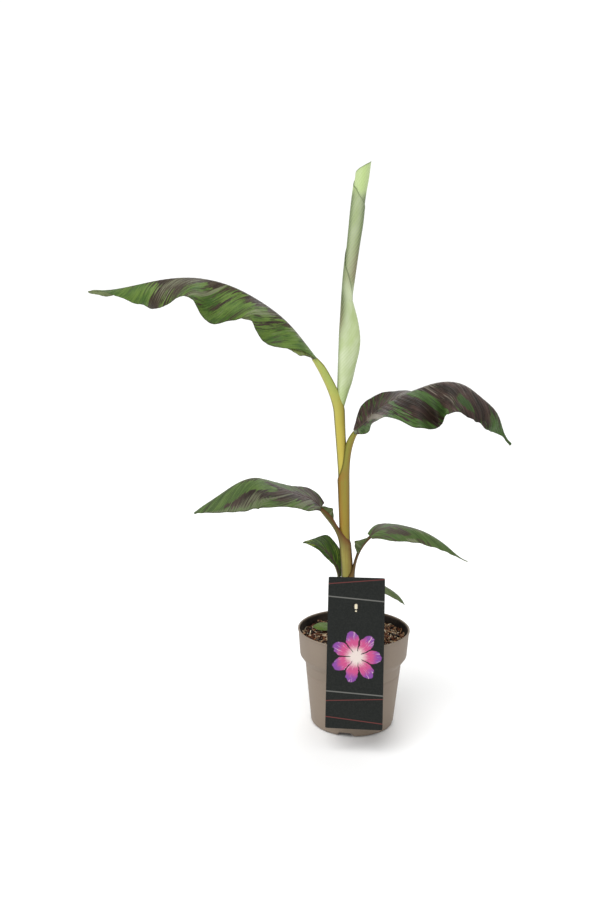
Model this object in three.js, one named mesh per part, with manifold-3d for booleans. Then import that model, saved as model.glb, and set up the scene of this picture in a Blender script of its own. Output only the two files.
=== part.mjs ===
// Young banana plant in a tapered nursery pot, with a blank label card on a peg.
// Millimetres, +Z up. The origin is the centre of the pot's flat underside.
import * as THREE from "three";
import { mergeVertices } from "three/addons/utils/BufferGeometryUtils.js";
import Module from "manifold-3d";

const wasm = await Module();
wasm.setup();
const { Manifold, Mesh } = wasm;

const CLEAR = 0.3; // gap kept between neighbouring pieces
const SPLIT = 1.1; // gap along the midrib where a leaf is split at its bend

// Pot: a tapered body with a stepped collar and four drain notches in its heel.
const POT = {
  height: 104.3, rimRadius: 59.6, lipDrop: 1, lipInset: 0.5, lipWall: 2.2, wall: 1.5, floor: 2, segments: 64,
  collarRadius: 56.9, collarFoot: 76, stepDrop: 7.6, bodyRadius: 51.2, heelRadius: 44.4, heelFillet: 3,
  notchWidth: 11, notchHeight: 4, notchDepth: 11, notchCount: 4, notchStart: 258,
};

// Potting mix: level out to flat, and falling by crown from there to its edge at the wall.
const MIX = { top: 94.8, crown: 0.9, flat: 24, edge: 56, chamfer: 1.4 };

// Pseudostem: centre line and radius at equal steps of height, from the flat foot to the fork.
const STEM = {
  foot: MIX.top + MIX.crown + CLEAR, fork: 340.5, y: 0, sides: 14, rings: 15,
  x: [-6, -7, -8, -11, -12.5, -14, -17, -19.5],
  radius: [10.8, 7.9, 6.8, 5.3, 4.6, 5.0, 5.2, 5.2],
};

// Rolled new leaf: a scroll whose outer turn ends in a step, wide and open low down.
const SCROLL = {
  foot: 340.8, top: 584, sides: 20, rings: 18, step: 0.16, stepAt: 285, twist: 40, flatten: 0.82, slant: 0.55,
  x: [-14.8, -14, -11.5, -12.3, -12.1, -9.3, -6.3, -2.8, 2.3],
  radius: [1.8, 9.0, 11.4, 9.5, 7.3, 7.3, 7.9, 7.9, 5.6],
};

// Leaves. Headings and pitches are in degrees, heading counted from +X towards +Y. The lists hold
// values at equal steps along the midrib: its pitch, each half's width, and how far each half
// hangs below level. The front half is the one towards -Y. A petiole ends where its blade begins.
const LEAVES = [
  {
    name: "leaf_upper_left", petiole: { from: [-22.5, 0, 341], radius: [4.4, 3.2], bow: 3 },
    base: [-42.8, 0, 391.9], heading: 180, sweep: -4, length: 263, thick: 2.7, rib: [4.2, 0.6],
    pitch: [53, 49.5, 36, 27, 13, -2, -12, -11, -1.5], split: 0.5,
    front: [6, 16, 32, 35, 42, 41, 39, 45, 46.5, 45, 41.5, 36.5, 32, 22, 14.5, 10, 2],
    back: [3.5, 25.5, 34, 37, 42, 42, 38, 30.5, 22, 12, 3],
    frontHang: [10, 27, 43, 58, 38, 26, 56, 78, 63, 26.5, 26.5, 45, 66, 84, 39, 9.5, 0],
    backHang: [63, 53, 43.5, 46, 53, 37, 31, 35, 31],
  },
  {
    name: "leaf_upper_right", petiole: { from: [-11.5, -5, 280], radius: [3.9, 2.8], bow: 1 },
    base: [-3.9, -4, 317.5], heading: 352, sweep: -10, length: 206, thick: 2.4, rib: [3.6, 0.6],
    pitch: [38, 47, 32, 25.5, 20, -2.5, -35, -41, -72.5, -51], split: 0.52,
    front: [10, 28, 43, 36, 38.5, 51, 57.5, 48.5, 47.5, 48, 48.5, 45, 40.5, 31.5, 32, 5, 2],
    back: [2, 21.5, 25, 24, 27, 30, 30, 28, 23.5, 16, 7.5, 2],
    frontHang: [11, 18, 7, 11.5, 25, 34.5, 37.5, 65, 56.5, 38.5, 33.5, 25, 25, 29, 20, 29, -8],
    backHang: [-42, -35, -17, 15.5, 32.5, 40.5, 42.5, 30, -10],
  },
  {
    name: "leaf_middle_left", petiole: { from: [-17, -3, 200], radius: [3.6, 2.5], bow: 1.5 },
    base: [-36.7, -2.2, 235], heading: 186, sweep: 4, length: 150.7, thick: 1.8, rib: [3.0, 0.5],
    pitch: [58, 20, 24, 25, -15, -34, -33, -35],
    front: [8, 25.5, 25.5, 30.5, 41, 45, 44.5, 41.5, 30, 19.5, 3],
    back: [12.5, 24.5, 25, 26.5, 25, 24, 20, 12, 3.5],
    frontHang: [15, 21, 28, 31, 28, 23.5, 6], backHang: [-28, -10, 0.5, 12, 16.5, 13, 7],
  },
  {
    name: "leaf_lower_right", petiole: { from: [-1, -4, 168], radius: [2.8, 1.9], bow: 2 },
    base: [15, -3, 205.4], heading: 8, sweep: -6, length: 119, thick: 1.4, rib: [2.3, 0.4],
    pitch: [44.5, 16.5, -3.5, -15.5, -28.5, -36.5, -42, -21.5],
    front: [6, 20.5, 23.5, 21, 18, 16.5, 11.5, 5.5, 0.8], back: [6.5, 17.5, 20, 19, 16, 12, 8, 3.5, 1.5],
    frontHang: [15, 24, 30, 37, 29.5, 21, -15], backHang: [-17, 2.5, 8.5, 13, 11.5, 9, -1],
  },
  {
    name: "leaf_lower_left", petiole: { from: [-14, 6, 104], radius: [2.6, 1.8], bow: 1 },
    base: [-15.8, 7, 158], heading: 165, sweep: 0, length: 59, thick: 1.1, rib: [2.0, 0.4],
    pitch: [81, 63, 51, 38, 11.5, -10.5],
    front: [0.8, 1, 6, 7.5, 5.5, 4, 2], back: [3, 9, 15.5, 19.5, 22.5, 23.5, 11.5, 0.8],
    frontHang: [22.5, 21.5, 10.5, 13, 27, 25, -10], backHang: [-35.5, -35, -28, -19.5, -16.5, -10.5, -5.5],
  },
  {
    name: "leaf_behind_card", petiole: { from: [3, -6, 104], radius: [2.4, 1.6], bow: 2 },
    base: [13, -8, 146], heading: 12, sweep: 0, length: 52, thick: 1.0, rib: [1.8, 0.4],
    pitch: [57, 12.5, -20.5, -33, -47.5, -66],
    front: [2, 8.5, 11, 10.5, 11, 8.5, 2.5], back: [2, 8, 10, 9.5, 8, 4.5, 0.8],
    frontHang: [10, 21, 27.5, 25, 22.5], backHang: [0, 2, 1.5, 8, 6],
  },
  {
    name: "leaf_at_soil", petiole: { from: [-15, 3, 99.5], radius: [2.0, 1.6], bow: 0 },
    base: [-20, 3.5, 101], heading: 176, sweep: 0, length: 24, thick: 1.0, rib: [1.6, 0.4],
    pitch: [22, 14, -2, -16],
    front: [2, 7, 8.5, 7.5, 2], back: [2, 7, 8.5, 7.5, 2],
    frontHang: [10, 18, 20], backHang: [-12, -8, 0],
  },
];

// Blank label card that leans on the front of the rim, and the peg that carries it.
const CARD = {
  width: 57.8, height: 151.6, thick: 0.8, at: [-1.3, -61.75, 99.8], yaw: -8, lean: 16, roll: -1.3,
  holeRadius: 3.9, holeDrop: 29.5,
};
const PEG = { width: 8, thick: 1.2, padHeight: 15, pin: [3.4, 5], nose: 1.6, legTilt: 5 };

const radians = (degrees) => (degrees * Math.PI) / 180;
const steps = (count) => Array.from({ length: count + 1 }, (_, i) => i / count);

/** Smooth curve through values at equal steps of t from 0 to 1. */
function smooth(values, t) {
  const last = values.length - 1;
  const u = Math.min(Math.max(t, 0) * last, last - 1e-9);
  const k = Math.floor(u);
  const s = u - k;
  const beyond = [2 * values[0] - values[1], 2 * values[last] - values[last - 1]];
  const [b, c] = [values[k], values[k + 1]];
  const [a, d] = [k > 0 ? values[k - 1] : beyond[0], k + 1 < last ? values[k + 2] : beyond[1]];
  return b + 0.5 * s * (c - a + s * (2 * a - 5 * b + 4 * c - d + s * (3 * (b - c) + d - a)));
}

/** Manifold of a closed geometry: shared vertices are merged, and it is turned over if it is inside out. */
function solid(geometry) {
  geometry.deleteAttribute("normal");
  geometry.deleteAttribute("uv");
  const merged = mergeVertices(geometry);
  const vertProperties = new Float32Array(merged.attributes.position.array);
  const build = (triVerts) => new Manifold(new Mesh({ numProp: 3, vertProperties, triVerts }));
  const built = build(new Uint32Array(merged.index.array));
  return built.volume() > 0 ? built : build(new Uint32Array(merged.index.array).reverse());
}

/**
 * Closed solid through rings of equal, even point counts. Point j of a ring faces point sides - 1 - j: rungs
 * between the two cap the ends, and the walls of both halves fold along matching diagonals.
 */
function loft(rings) {
  const sides = rings[0].length;
  const faces = [];
  const quad = (a, b, c, d) => faces.push(a, b, c, a, c, d);
  rings.slice(1).forEach((_, i) => {
    for (let j = 0; j < sides; j++) {
      const [a, b] = [i * sides + j, i * sides + ((j + 1) % sides)];
      if (j < sides / 2) quad(a, b, b + sides, a + sides);
      else quad(b, b + sides, a + sides, a);
    }
  });
  const last = (rings.length - 1) * sides;
  for (let j = 0; j < sides / 2 - 1; j++) {
    const far = sides - 1 - j;
    quad(far, far - 1, j + 1, j);
    quad(last + j, last + j + 1, last + far - 1, last + far);
  }
  return solid(new THREE.BufferGeometry().setFromPoints(rings.flat()).setIndex(faces));
}

/** Closed solid turned about Z from a profile of radius and height that starts and ends on the axis. */
function turned(profile) {
  const points = profile.map(([radius, height]) => new THREE.Vector2(radius, height));
  return solid(new THREE.LatheGeometry(points, POT.segments).rotateX(Math.PI / 2));
}

/** Round or oval tube along points, with one radius per point and a share of it across the path. */
function tube(path, radii, sides, grow = 0, flatten = 1) {
  const last = path.length - 1;
  return loft(path.map((p, i) => {
    const ahead = path[Math.min(i + 1, last)].clone().sub(path[Math.max(i - 1, 0)]).normalize();
    const side = new THREE.Vector3(0, 1, 0).addScaledVector(ahead, -ahead.y).normalize();
    const up = new THREE.Vector3().crossVectors(side, ahead);
    const end = i === 0 ? -grow : i === last ? grow : 0;
    return steps(sides).slice(0, -1).map((turn) => p.clone().addScaledVector(ahead, end)
      .addScaledVector(up, (radii[i] + grow) * Math.cos(2 * Math.PI * turn))
      .addScaledVector(side, (radii[i] * flatten + grow) * Math.sin(2 * Math.PI * turn)));
  }));
}

/** Pot shell: the outline turned about Z, with the drain notches cut through its heel. */
function potShell() {
  const p = POT;
  const heel = steps(3).map((t) => (Math.PI / 2) * t).map((angle) => [
    p.heelRadius - p.heelFillet * (1 - Math.sin(angle)), p.heelFillet * (1 - Math.cos(angle)),
  ]);
  const shell = turned([
    [0, 0], ...heel, [p.bodyRadius, p.collarFoot - p.stepDrop], [p.collarRadius, p.collarFoot],
    [p.rimRadius, p.height - p.lipDrop], [p.rimRadius - p.lipInset, p.height],
    [p.rimRadius - p.lipWall, p.height], [p.collarRadius - p.wall, p.collarFoot + 1],
    [p.bodyRadius - p.wall, p.collarFoot - p.stepDrop + 1], [p.heelRadius - p.wall, p.heelFillet + 1],
    [p.heelRadius - p.wall - 1, p.floor], [0, p.floor],
  ]);
  const notches = steps(p.notchCount).slice(0, -1).map((turn) => solid(
    new THREE.BoxGeometry(2 * p.notchDepth, p.notchWidth, 2 * p.notchHeight)
      .translate(p.heelRadius, 0, 0).rotateZ(radians(p.notchStart + 360 * turn)),
  ));
  return shell.subtract(Manifold.union(notches));
}

/** Potting mix: fills the pot to just under its lip, with a low crown round the stem. */
function pottingMix() {
  const p = POT;
  const inset = p.wall + CLEAR;
  return turned([
    [0, p.floor + CLEAR], [p.heelRadius - inset - MIX.chamfer, p.floor + CLEAR],
    [p.heelRadius - inset, p.heelFillet + 2], [p.bodyRadius - inset, p.collarFoot - p.stepDrop + 1 + CLEAR],
    [p.collarRadius - inset, p.collarFoot + 1 + 2 * CLEAR], [MIX.edge, MIX.top],
    [MIX.flat, MIX.top + MIX.crown], [0, MIX.top + MIX.crown],
  ]);
}

/** Pseudostem with its true lean and taper. */
function pseudostem(grow = 0) {
  const around = steps(STEM.sides).slice(0, -1).map((turn) => 2 * Math.PI * turn);
  return loft(steps(STEM.rings).map((t) => {
    const radius = smooth(STEM.radius, t) + grow;
    const [x, height] = [smooth(STEM.x, t), STEM.foot + t * (STEM.fork - STEM.foot)];
    const end = t === 0 ? -grow : t === 1 ? grow : 0;
    return around.map((angle) => new THREE.Vector3(
      x + radius * Math.cos(angle), STEM.y + radius * Math.sin(angle), height + end,
    ));
  }));
}

/** Rolled leaf: each section's radius grows once round, which leaves the step of the outer turn. */
function rolledLeaf() {
  const rings = steps(SCROLL.rings).map((t) => {
    const radius = smooth(SCROLL.radius, t);
    const from = radians(SCROLL.stepAt + SCROLL.twist * t);
    return steps(SCROLL.sides).slice(0, -1).map((turn) => {
      const reach = radius * (1 - SCROLL.step / 2 + SCROLL.step * turn);
      const x = reach * Math.cos(from + 2 * Math.PI * turn);
      const y = reach * SCROLL.flatten * Math.sin(from + 2 * Math.PI * turn);
      const z = SCROLL.foot + t * (SCROLL.top - SCROLL.foot) + (t === 1 ? SCROLL.slant * x : 0);
      return new THREE.Vector3(smooth(SCROLL.x, t) + x, y, z);
    });
  });
  return loft(rings);
}

/** Midrib of a leaf at the given shares of its length: point, direction, front side and upward normal. */
function midrib(leaf, shares) {
  const direction = (t) => {
    const [pitch, heading] = [radians(smooth(leaf.pitch, t)), radians(leaf.heading + leaf.sweep * t)];
    return new THREE.Vector3(Math.cos(heading), Math.sin(heading), Math.tan(pitch)).normalize();
  };
  const point = new THREE.Vector3(...leaf.base);
  let reached = 0;
  return shares.map((t) => {
    const strides = Math.max(1, Math.ceil((t - reached) / 0.01));
    const stride = (t - reached) / strides;
    for (let i = 0; i < strides; i++) {
      point.addScaledVector(direction(reached + (i + 0.5) * stride), leaf.length * stride);
    }
    reached = t;
    const heading = radians(leaf.heading + leaf.sweep * t);
    const front = new THREE.Vector3(Math.sin(heading), -Math.cos(heading), 0);
    if (Math.cos(radians(leaf.heading)) < 0) front.negate();
    const up = new THREE.Vector3().crossVectors(direction(t), front);
    if (up.z < 0) up.negate();
    return { t, point: point.clone(), front, up };
  });
}

/** One side of a section: points and normals from beside the midrib out to the margin. */
function halfSection(leaf, frame, side, cells) {
  const widths = side > 0 ? leaf.front : leaf.back;
  const width = Math.max(smooth(widths, frame.t), 0.8);
  const cell = width / cells;
  const limit = Math.atan(cell / leaf.thick);
  const hang = radians(smooth(side > 0 ? leaf.frontHang : leaf.backHang, frame.t));
  const mean = Math.sign(hang) * Math.min(Math.abs(hang), 1.5 * limit);
  const point = frame.point.clone();
  return steps(cells).slice(1).map((v) => {
    const angle = mean * (0.5 + (v - 0.5 / cells));
    const [cos, sin] = [Math.cos(angle), Math.sin(angle)];
    point.addScaledVector(frame.front, side * cell * cos).addScaledVector(frame.up, -cell * sin);
    const normal = frame.up.clone().multiplyScalar(cos).addScaledVector(frame.front, side * sin);
    return { point: point.clone(), normal };
  });
}

/** Leaf blade between two shares of its midrib: a thin closed slab with a rib under the middle. */
function blade(leaf, from, to, cells = 3) {
  const count = Math.max(7, Math.round(((to - from) * leaf.length) / 13));
  const frames = midrib(leaf, steps(count).map((share) => from + (to - from) * share));
  const rings = frames.map((frame) => {
    const row = [
      ...halfSection(leaf, frame, -1, cells).reverse(), { point: frame.point, normal: frame.up, rib: true },
      ...halfSection(leaf, frame, 1, cells),
    ];
    const depth = (p) => leaf.thick + (p.rib ? leaf.rib[0] + (leaf.rib[1] - leaf.rib[0]) * frame.t : 0);
    const under = row.map((p) => p.point.clone().addScaledVector(p.normal, -depth(p)));
    return [...row.map((p) => p.point), ...under.reverse()];
  });
  return loft(rings);
}

/** Leaf stalk: a tapering tube that bows a little on its way from the stem to the blade. */
function petiole(leaf, grow = 0) {
  const { from, radius, bow } = leaf.petiole;
  const [start, end] = [new THREE.Vector3(...from), new THREE.Vector3(...leaf.base)];
  const turns = steps(5);
  const lift = (t) => new THREE.Vector3(0, 0, bow * Math.sin(Math.PI * t));
  const path = turns.map((t) => start.clone().lerp(end, t).add(lift(t)));
  return tube(path, turns.map((t) => radius[0] + (radius[1] - radius[0]) * t), 10, grow);
}

/** Bar whose side view is an outline of depth and height, extruded along X about its middle. */
function extrudedAlongX(outline, width) {
  const shape = new THREE.Shape(outline.map(([y, z]) => new THREE.Vector2(y, z)));
  const bar = new THREE.ExtrudeGeometry(shape, { depth: width, bevelEnabled: false });
  return bar.translate(0, 0, -width / 2).rotateX(Math.PI / 2).rotateZ(Math.PI / 2);
}

/** Blank card in its own axes, with the hole for its peg. */
function labelCard() {
  const [x, z] = [CARD.width / 2, CARD.height / 2];
  const corners = [[-x, -z], [x, -z], [x, z], [-x, z]].map(([a, b]) => new THREE.Vector2(a, b));
  const outline = new THREE.Shape(corners);
  outline.holes.push(new THREE.Path().absarc(0, z - CARD.holeDrop, CARD.holeRadius, 0, 2 * Math.PI, true));
  const sheet = new THREE.ExtrudeGeometry(outline, { depth: CARD.thick, bevelEnabled: false });
  return solid(sheet.rotateX(Math.PI / 2).translate(0, CARD.thick / 2, 0));
}

/** Peg in the card's axes: a pad behind the card, a pin through its hole and a leg that stands on the mix. */
function cardPeg(label) {
  const behind = CARD.thick / 2 + CLEAR + PEG.thick / 2;
  const holeHeight = CARD.height / 2 - CARD.holeDrop;
  const reach = behind + CARD.thick / 2 + PEG.nose;
  const pad = new THREE.BoxGeometry(PEG.width, PEG.thick, PEG.padHeight).translate(0, behind, holeHeight);
  const pin = new THREE.BoxGeometry(PEG.pin[0], reach, PEG.pin[1])
    .translate(0, behind - reach / 2, holeHeight);
  const head = label.localToWorld(new THREE.Vector3(0, behind, holeHeight));
  const drop = head.z - CLEAR - MIX.top - (MIX.crown * (MIX.edge + head.y)) / (MIX.edge - MIX.flat);
  const lag = drop * Math.tan(radians(PEG.legTilt));
  const [back, front] = [PEG.thick / 2, -PEG.thick / 2];
  const leg = extrudedAlongX([[front - lag, -drop], [back - lag, -drop], [back, 0], [front, 0]], PEG.width)
    .rotateZ(radians(CARD.yaw)).translate(...head).applyMatrix4(label.matrixWorld.clone().invert());
  return Manifold.union([pad, pin, leg].map(solid));
}

const FINISHES = {
  pot: { color: "#94867a", roughness: 0.62, metalness: 0 },
  mix: { color: "#5a3d2c", roughness: 0.95, metalness: 0 },
  stem: { color: "#b3a548", roughness: 0.45, metalness: 0 },
  scroll: { color: "#b7c69a", roughness: 0.5, metalness: 0 },
  leaf: { color: "#4c6b3c", roughness: 0.4, metalness: 0 },
  card: { color: "#2b2e2c", roughness: 0.5, metalness: 0 },
  peg: { color: "#e6dcc4", roughness: 0.5, metalness: 0 },
};

/** Adds a solid to a group as a mesh with its own material. */
function place(parent, name, body, finish) {
  const { vertProperties, triVerts } = body.getMesh();
  const geometry = new THREE.BufferGeometry();
  geometry.setAttribute("position", new THREE.BufferAttribute(vertProperties, 3));
  geometry.setIndex(new THREE.BufferAttribute(triVerts, 1));
  const mesh = new THREE.Mesh(geometry, new THREE.MeshStandardMaterial(FINISHES[finish]));
  mesh.name = name;
  parent.add(mesh);
}

const container = new THREE.Group();
place(container, "pot", potShell(), "pot");
place(container, "potting_mix", pottingMix(), "mix");

const plant = new THREE.Group();
const stemRoom = pseudostem(CLEAR);
place(plant, "pseudostem", pseudostem(), "stem");
place(plant, "rolled_leaf", rolledLeaf().subtract(petiole(LEAVES[0], CLEAR)), "scroll");
LEAVES.forEach((leaf) => {
  place(plant, `${leaf.name}_petiole`, petiole(leaf).subtract(stemRoom), "stem");
  const room = stemRoom.add(petiole(leaf, CLEAR));
  if (leaf.split) {
    place(plant, `${leaf.name}_inner`, blade(leaf, 0, leaf.split).subtract(room), "leaf");
    place(plant, `${leaf.name}_outer`, blade(leaf, leaf.split + SPLIT / leaf.length, 1), "leaf");
  } else {
    place(plant, `${leaf.name}_blade`, blade(leaf, 0, 1).subtract(room), "leaf");
  }
});

const label = new THREE.Group();
label.position.set(...CARD.at);
label.rotation.set(radians(-CARD.lean), radians(CARD.roll), radians(CARD.yaw), "ZXY");
label.updateMatrixWorld();
place(label, "label_card", labelCard(), "card");
place(label, "card_peg", cardPeg(label), "peg");

const group = new THREE.Group();
group.name = "potted_banana_plant";
group.add(container, plant, label);

export default group;
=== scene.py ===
"""A young banana plant in its nursery pot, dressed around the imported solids.

Sizes are in millimetres and angles in degrees until a mesh is made, which is in metres.
+Z is up, the origin is the centre of the pot's flat underside, and -Y is the front.
"""

import logging
from dataclasses import dataclass, field
from enum import Enum

import bpy
import numpy as np
from mathutils import Matrix, Vector
from numpy.typing import NDArray


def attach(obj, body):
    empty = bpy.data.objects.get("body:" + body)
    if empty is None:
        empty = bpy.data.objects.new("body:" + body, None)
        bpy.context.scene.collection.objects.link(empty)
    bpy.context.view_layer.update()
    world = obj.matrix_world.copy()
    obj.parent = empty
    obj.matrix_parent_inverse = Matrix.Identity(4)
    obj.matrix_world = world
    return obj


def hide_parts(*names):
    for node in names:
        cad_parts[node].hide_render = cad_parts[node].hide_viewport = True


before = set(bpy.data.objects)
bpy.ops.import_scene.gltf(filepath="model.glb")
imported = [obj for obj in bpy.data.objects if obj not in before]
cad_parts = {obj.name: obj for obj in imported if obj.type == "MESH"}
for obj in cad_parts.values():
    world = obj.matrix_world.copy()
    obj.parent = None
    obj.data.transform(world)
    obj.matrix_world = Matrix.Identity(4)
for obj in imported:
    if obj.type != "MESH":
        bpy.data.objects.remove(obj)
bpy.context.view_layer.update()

Array = NDArray[np.float64]
Colour = tuple[float, float, float]
Point = tuple[float, float, float]
Patch = tuple[float, float, float, float, float]

LOG = logging.getLogger("banana_plant")
MM = 0.001
SOIL_TOP = 95.7
STUDIO_GAIN = 1.25
LOOSE_TURN = 6.28  # radians round, near enough for random angles and waves


class Side(Enum):
    """The two halves of a leaf: the front one hangs towards -Y."""

    FRONT = 1.0
    BACK = -1.0


# ---------------------------------------------------------------- curves and surfaces


def smooth(values: Array | tuple[float, ...], t: Array) -> Array:
    """Smooth curve through values at equal steps of t from 0 to 1.

    Each stretch is a cubic whose slope at a value is half the difference of its neighbours.

    Args:
        values: The values that the curve passes through.
        t: Where to read it, clipped to 0..1.

    Returns:
        The curve at each t.
    """
    v = np.asarray(values, float)
    last = len(v) - 1
    u = np.clip(t, 0, 1) * last
    k = np.minimum(u.astype(int), last - 1)
    s = u - k
    p = np.r_[2 * v[0] - v[1], v, 2 * v[-1] - v[-2]]
    a, b, c, d = p[k], p[k + 1], p[k + 2], p[k + 3]
    return b + 0.5 * s * (c - a + s * (2 * a - 5 * b + 4 * c - d + s * (3 * (b - c) + d - a)))


def ease(x: Array) -> Array:
    """Slow start and slow end from 0 to 1: x squared times three minus two x."""
    x = np.clip(x, 0, 1)
    return x * x * (3 - 2 * x)


def unit(v: Array) -> Array:
    """Vectors of length one along the last axis."""
    return v / np.maximum(np.linalg.norm(v, axis=-1, keepdims=True), 1e-9)


def bell(x: Array) -> Array:
    """The bell curve, e to the minus x squared."""
    return np.exp(-x * x)


def ripple_noise(x: Array, y: Array, seed: int, waves: int = 7) -> Array:
    """Seeded soft noise between about -1 and 1: the mean of sines in random directions.

    Args:
        x: First coordinate, one unit to a typical wave.
        y: Second coordinate.
        seed: Which noise.
        waves: How many sines are added.

    Returns:
        The noise at each place.
    """
    draw = np.random.default_rng(seed)
    total = np.zeros(np.broadcast(x, y).shape)
    for angle, pace, phase in zip(draw.uniform(0, LOOSE_TURN, waves), draw.uniform(0.6, 2.2, waves),
                                  draw.uniform(0, LOOSE_TURN, waves), strict=True):
        total += np.sin(pace * (x * np.cos(angle) + y * np.sin(angle)) * LOOSE_TURN + phase)
    return total / np.sqrt(waves)


def grid_quads(rows: int, columns: int, closed: bool = False, start: int = 0) -> Array:
    """Four-sided faces over a grid of points that is stored row by row.

    Args:
        rows: Number of rows of points.
        columns: Number of points in a row.
        closed: True if each row joins up into a ring.
        start: Number of the first point.

    Returns:
        One row of four point numbers per face.
    """
    i, j = np.meshgrid(np.arange(rows - 1), np.arange(columns if closed else columns - 1), indexing="ij")
    a = i * columns + j
    b = i * columns + (j + 1) % columns
    return start + np.stack([a, b, b + columns, a + columns], -1).reshape(-1, 4)


def outward(points: Array, faces: list[Array]) -> list[Array]:
    """Turns the faces of a closed mesh over if its volume comes out negative.

    The volume is summed as the triple product of the corners of each triangle in the faces' fans.

    Args:
        points: The mesh's points.
        faces: Arrays of faces, each with its own number of corners.

    Returns:
        The faces, pointing outwards.
    """
    volume = 0.0
    for f in faces:
        for k in range(1, f.shape[1] - 1):
            a, b, c = points[f[:, 0]], points[f[:, k]], points[f[:, k + 1]]
            volume += float(np.einsum("ij,ij->", a, np.cross(b, c)))
    return faces if volume > 0 else [f[:, ::-1] for f in faces]


@dataclass
class Surface:
    """A closed mesh with values on its points, in millimetres."""

    points: Array
    faces: list[Array]
    values: dict[str, Array] = field(default_factory=dict)

    @classmethod
    def slab(cls, middle: Array, above: Array, below: Array, values: dict[str, Array]) -> "Surface":
        """Thin closed sheet round a grid of points.

        Its two faces stand off the grid by above and below along the grid's own normal, which is the
        cross product of its two directions, and a strip of faces closes the rim. The value "under"
        is 0 on the first face and 1 on the second.

        Args:
            middle: Grid of points, rows by columns by three.
            above: Distance of the first face at each grid point.
            below: Distance of the second face.
            values: Values at each grid point, for both faces.

        Returns:
            The closed sheet.
        """
        n, m = middle.shape[:2]
        normal = unit(np.cross(np.gradient(middle, axis=0), np.gradient(middle, axis=1)))
        first = middle + normal * above[..., None]
        second = middle - normal * below[..., None]
        points = np.concatenate([first.reshape(-1, 3), second.reshape(-1, 3)])
        top = grid_quads(n, m)
        number = np.arange(n * m).reshape(n, m)
        rim = np.concatenate([number[0, :-1], number[:-1, -1], number[-1, :0:-1], number[:0:-1, 0]])
        nxt = np.roll(rim, -1)
        strip = np.stack([nxt, rim, rim + n * m, nxt + n * m], -1)
        both = {k: np.concatenate([v.reshape(n * m, -1)] * 2) for k, v in values.items()}
        both["under"] = np.repeat([0.0, 1.0], n * m)[:, None]
        return cls(points, outward(points, [np.concatenate([top, top[:, ::-1] + n * m, strip])]), both)

    @classmethod
    def loft(cls, rings: Array, values: dict[str, Array] | None = None) -> "Surface":
        """Closed solid through rings of points, with a fan to each end ring's middle.

        Args:
            rings: Rings by points by three.
            values: Values at each ring point.

        Returns:
            The closed solid.
        """
        n, m = rings.shape[:2]
        hubs = rings[[0, -1]].mean(1)
        points = np.concatenate([rings.reshape(-1, 3), hubs])
        j = np.arange(m)
        k = (j + 1) % m
        low = np.stack([np.full(m, n * m), k, j], -1)
        high = np.stack([np.full(m, n * m + 1), (n - 1) * m + j, (n - 1) * m + k], -1)
        ends = {key: v.reshape(n, m, -1) for key, v in (values or {}).items()}
        kept = {key: np.concatenate([v.reshape(n * m, -1), v[[0, -1]].mean(1)]) for key, v in ends.items()}
        faces = [grid_quads(n, m, closed=True), np.concatenate([low, high])]
        return cls(points, outward(points, faces), kept)

    @classmethod
    def turned(cls, profile: Array, segments: int) -> "Surface":
        """Body of revolution: a profile of radius and height, from the axis round to the axis.

        Args:
            profile: Radius and height of each profile point, without the two points on the axis.
            segments: Number of steps round.

        Returns:
            The closed body.
        """
        turn = np.arange(segments) * 2 * np.pi / segments
        radius, height = profile[:, 0, None], profile[:, 1, None]
        rings = np.stack(np.broadcast_arrays(radius * np.cos(turn), radius * np.sin(turn), height), -1)
        return cls.loft(rings)

    def joined(self, other: "Surface") -> "Surface":
        """Puts this mesh and another one with the same values together.

        Args:
            other: The other mesh.

        Returns:
            Both as one mesh.
        """
        shifted = [f + len(self.points) for f in other.faces]
        values = {k: np.concatenate([v, other.values[k]]) for k, v in self.values.items()}
        return Surface(np.concatenate([self.points, other.points]), self.faces + shifted, values)

    def moved(self, turn: Array, shift: Array) -> "Surface":
        """This mesh turned by a matrix and then shifted."""
        return Surface(self.points @ turn.T + shift, self.faces, self.values)


def put(name: str, surface: Surface, finish: "Finish", slot: str, replaces: tuple[str, ...] = (),
        sharp: float = 50.0) -> bpy.types.Object:
    """Makes a piece from a surface, dresses it and ties it to the frame.

    Args:
        name: The piece's name.
        surface: Its mesh in millimetres.
        finish: What gives its material.
        slot: The record's material slot.
        replaces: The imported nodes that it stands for.
        sharp: Edges that turn more than this many degrees are shaded sharp.

    Returns:
        The new piece.
    """
    mesh = bpy.data.meshes.new(name)
    loops = np.concatenate([f.ravel() for f in surface.faces]).astype(np.int32)
    counts = np.concatenate([np.full(len(f), f.shape[1]) for f in surface.faces])
    mesh.vertices.add(len(surface.points))
    mesh.vertices.foreach_set("co", (surface.points * MM).astype(np.float32).ravel())
    mesh.loops.add(len(loops))
    mesh.loops.foreach_set("vertex_index", loops)
    mesh.polygons.add(len(counts))
    mesh.polygons.foreach_set("loop_start", (np.cumsum(counts) - counts).astype(np.int32))
    for key, value in surface.values.items():
        kind, word = ("FLOAT_VECTOR", "vector") if value.shape[1] == 3 else ("FLOAT", "value")
        mesh.attributes.new(key, kind, "POINT").data.foreach_set(word, value.astype(np.float32).ravel())
    mesh.update(calc_edges=True)
    mesh.validate()
    mesh.shade_smooth()
    mesh.set_sharp_from_angle(angle=np.radians(sharp))
    mesh.materials.append(finish.material())
    piece = bpy.data.objects.new(name, mesh)
    bpy.context.scene.collection.objects.link(piece)
    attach(piece, "root")
    if replaces:
        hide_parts(*replaces)
    LOG.info("%s: %d faces, slot %s", name, len(counts), slot)
    return piece


# ---------------------------------------------------------------- finishes


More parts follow.
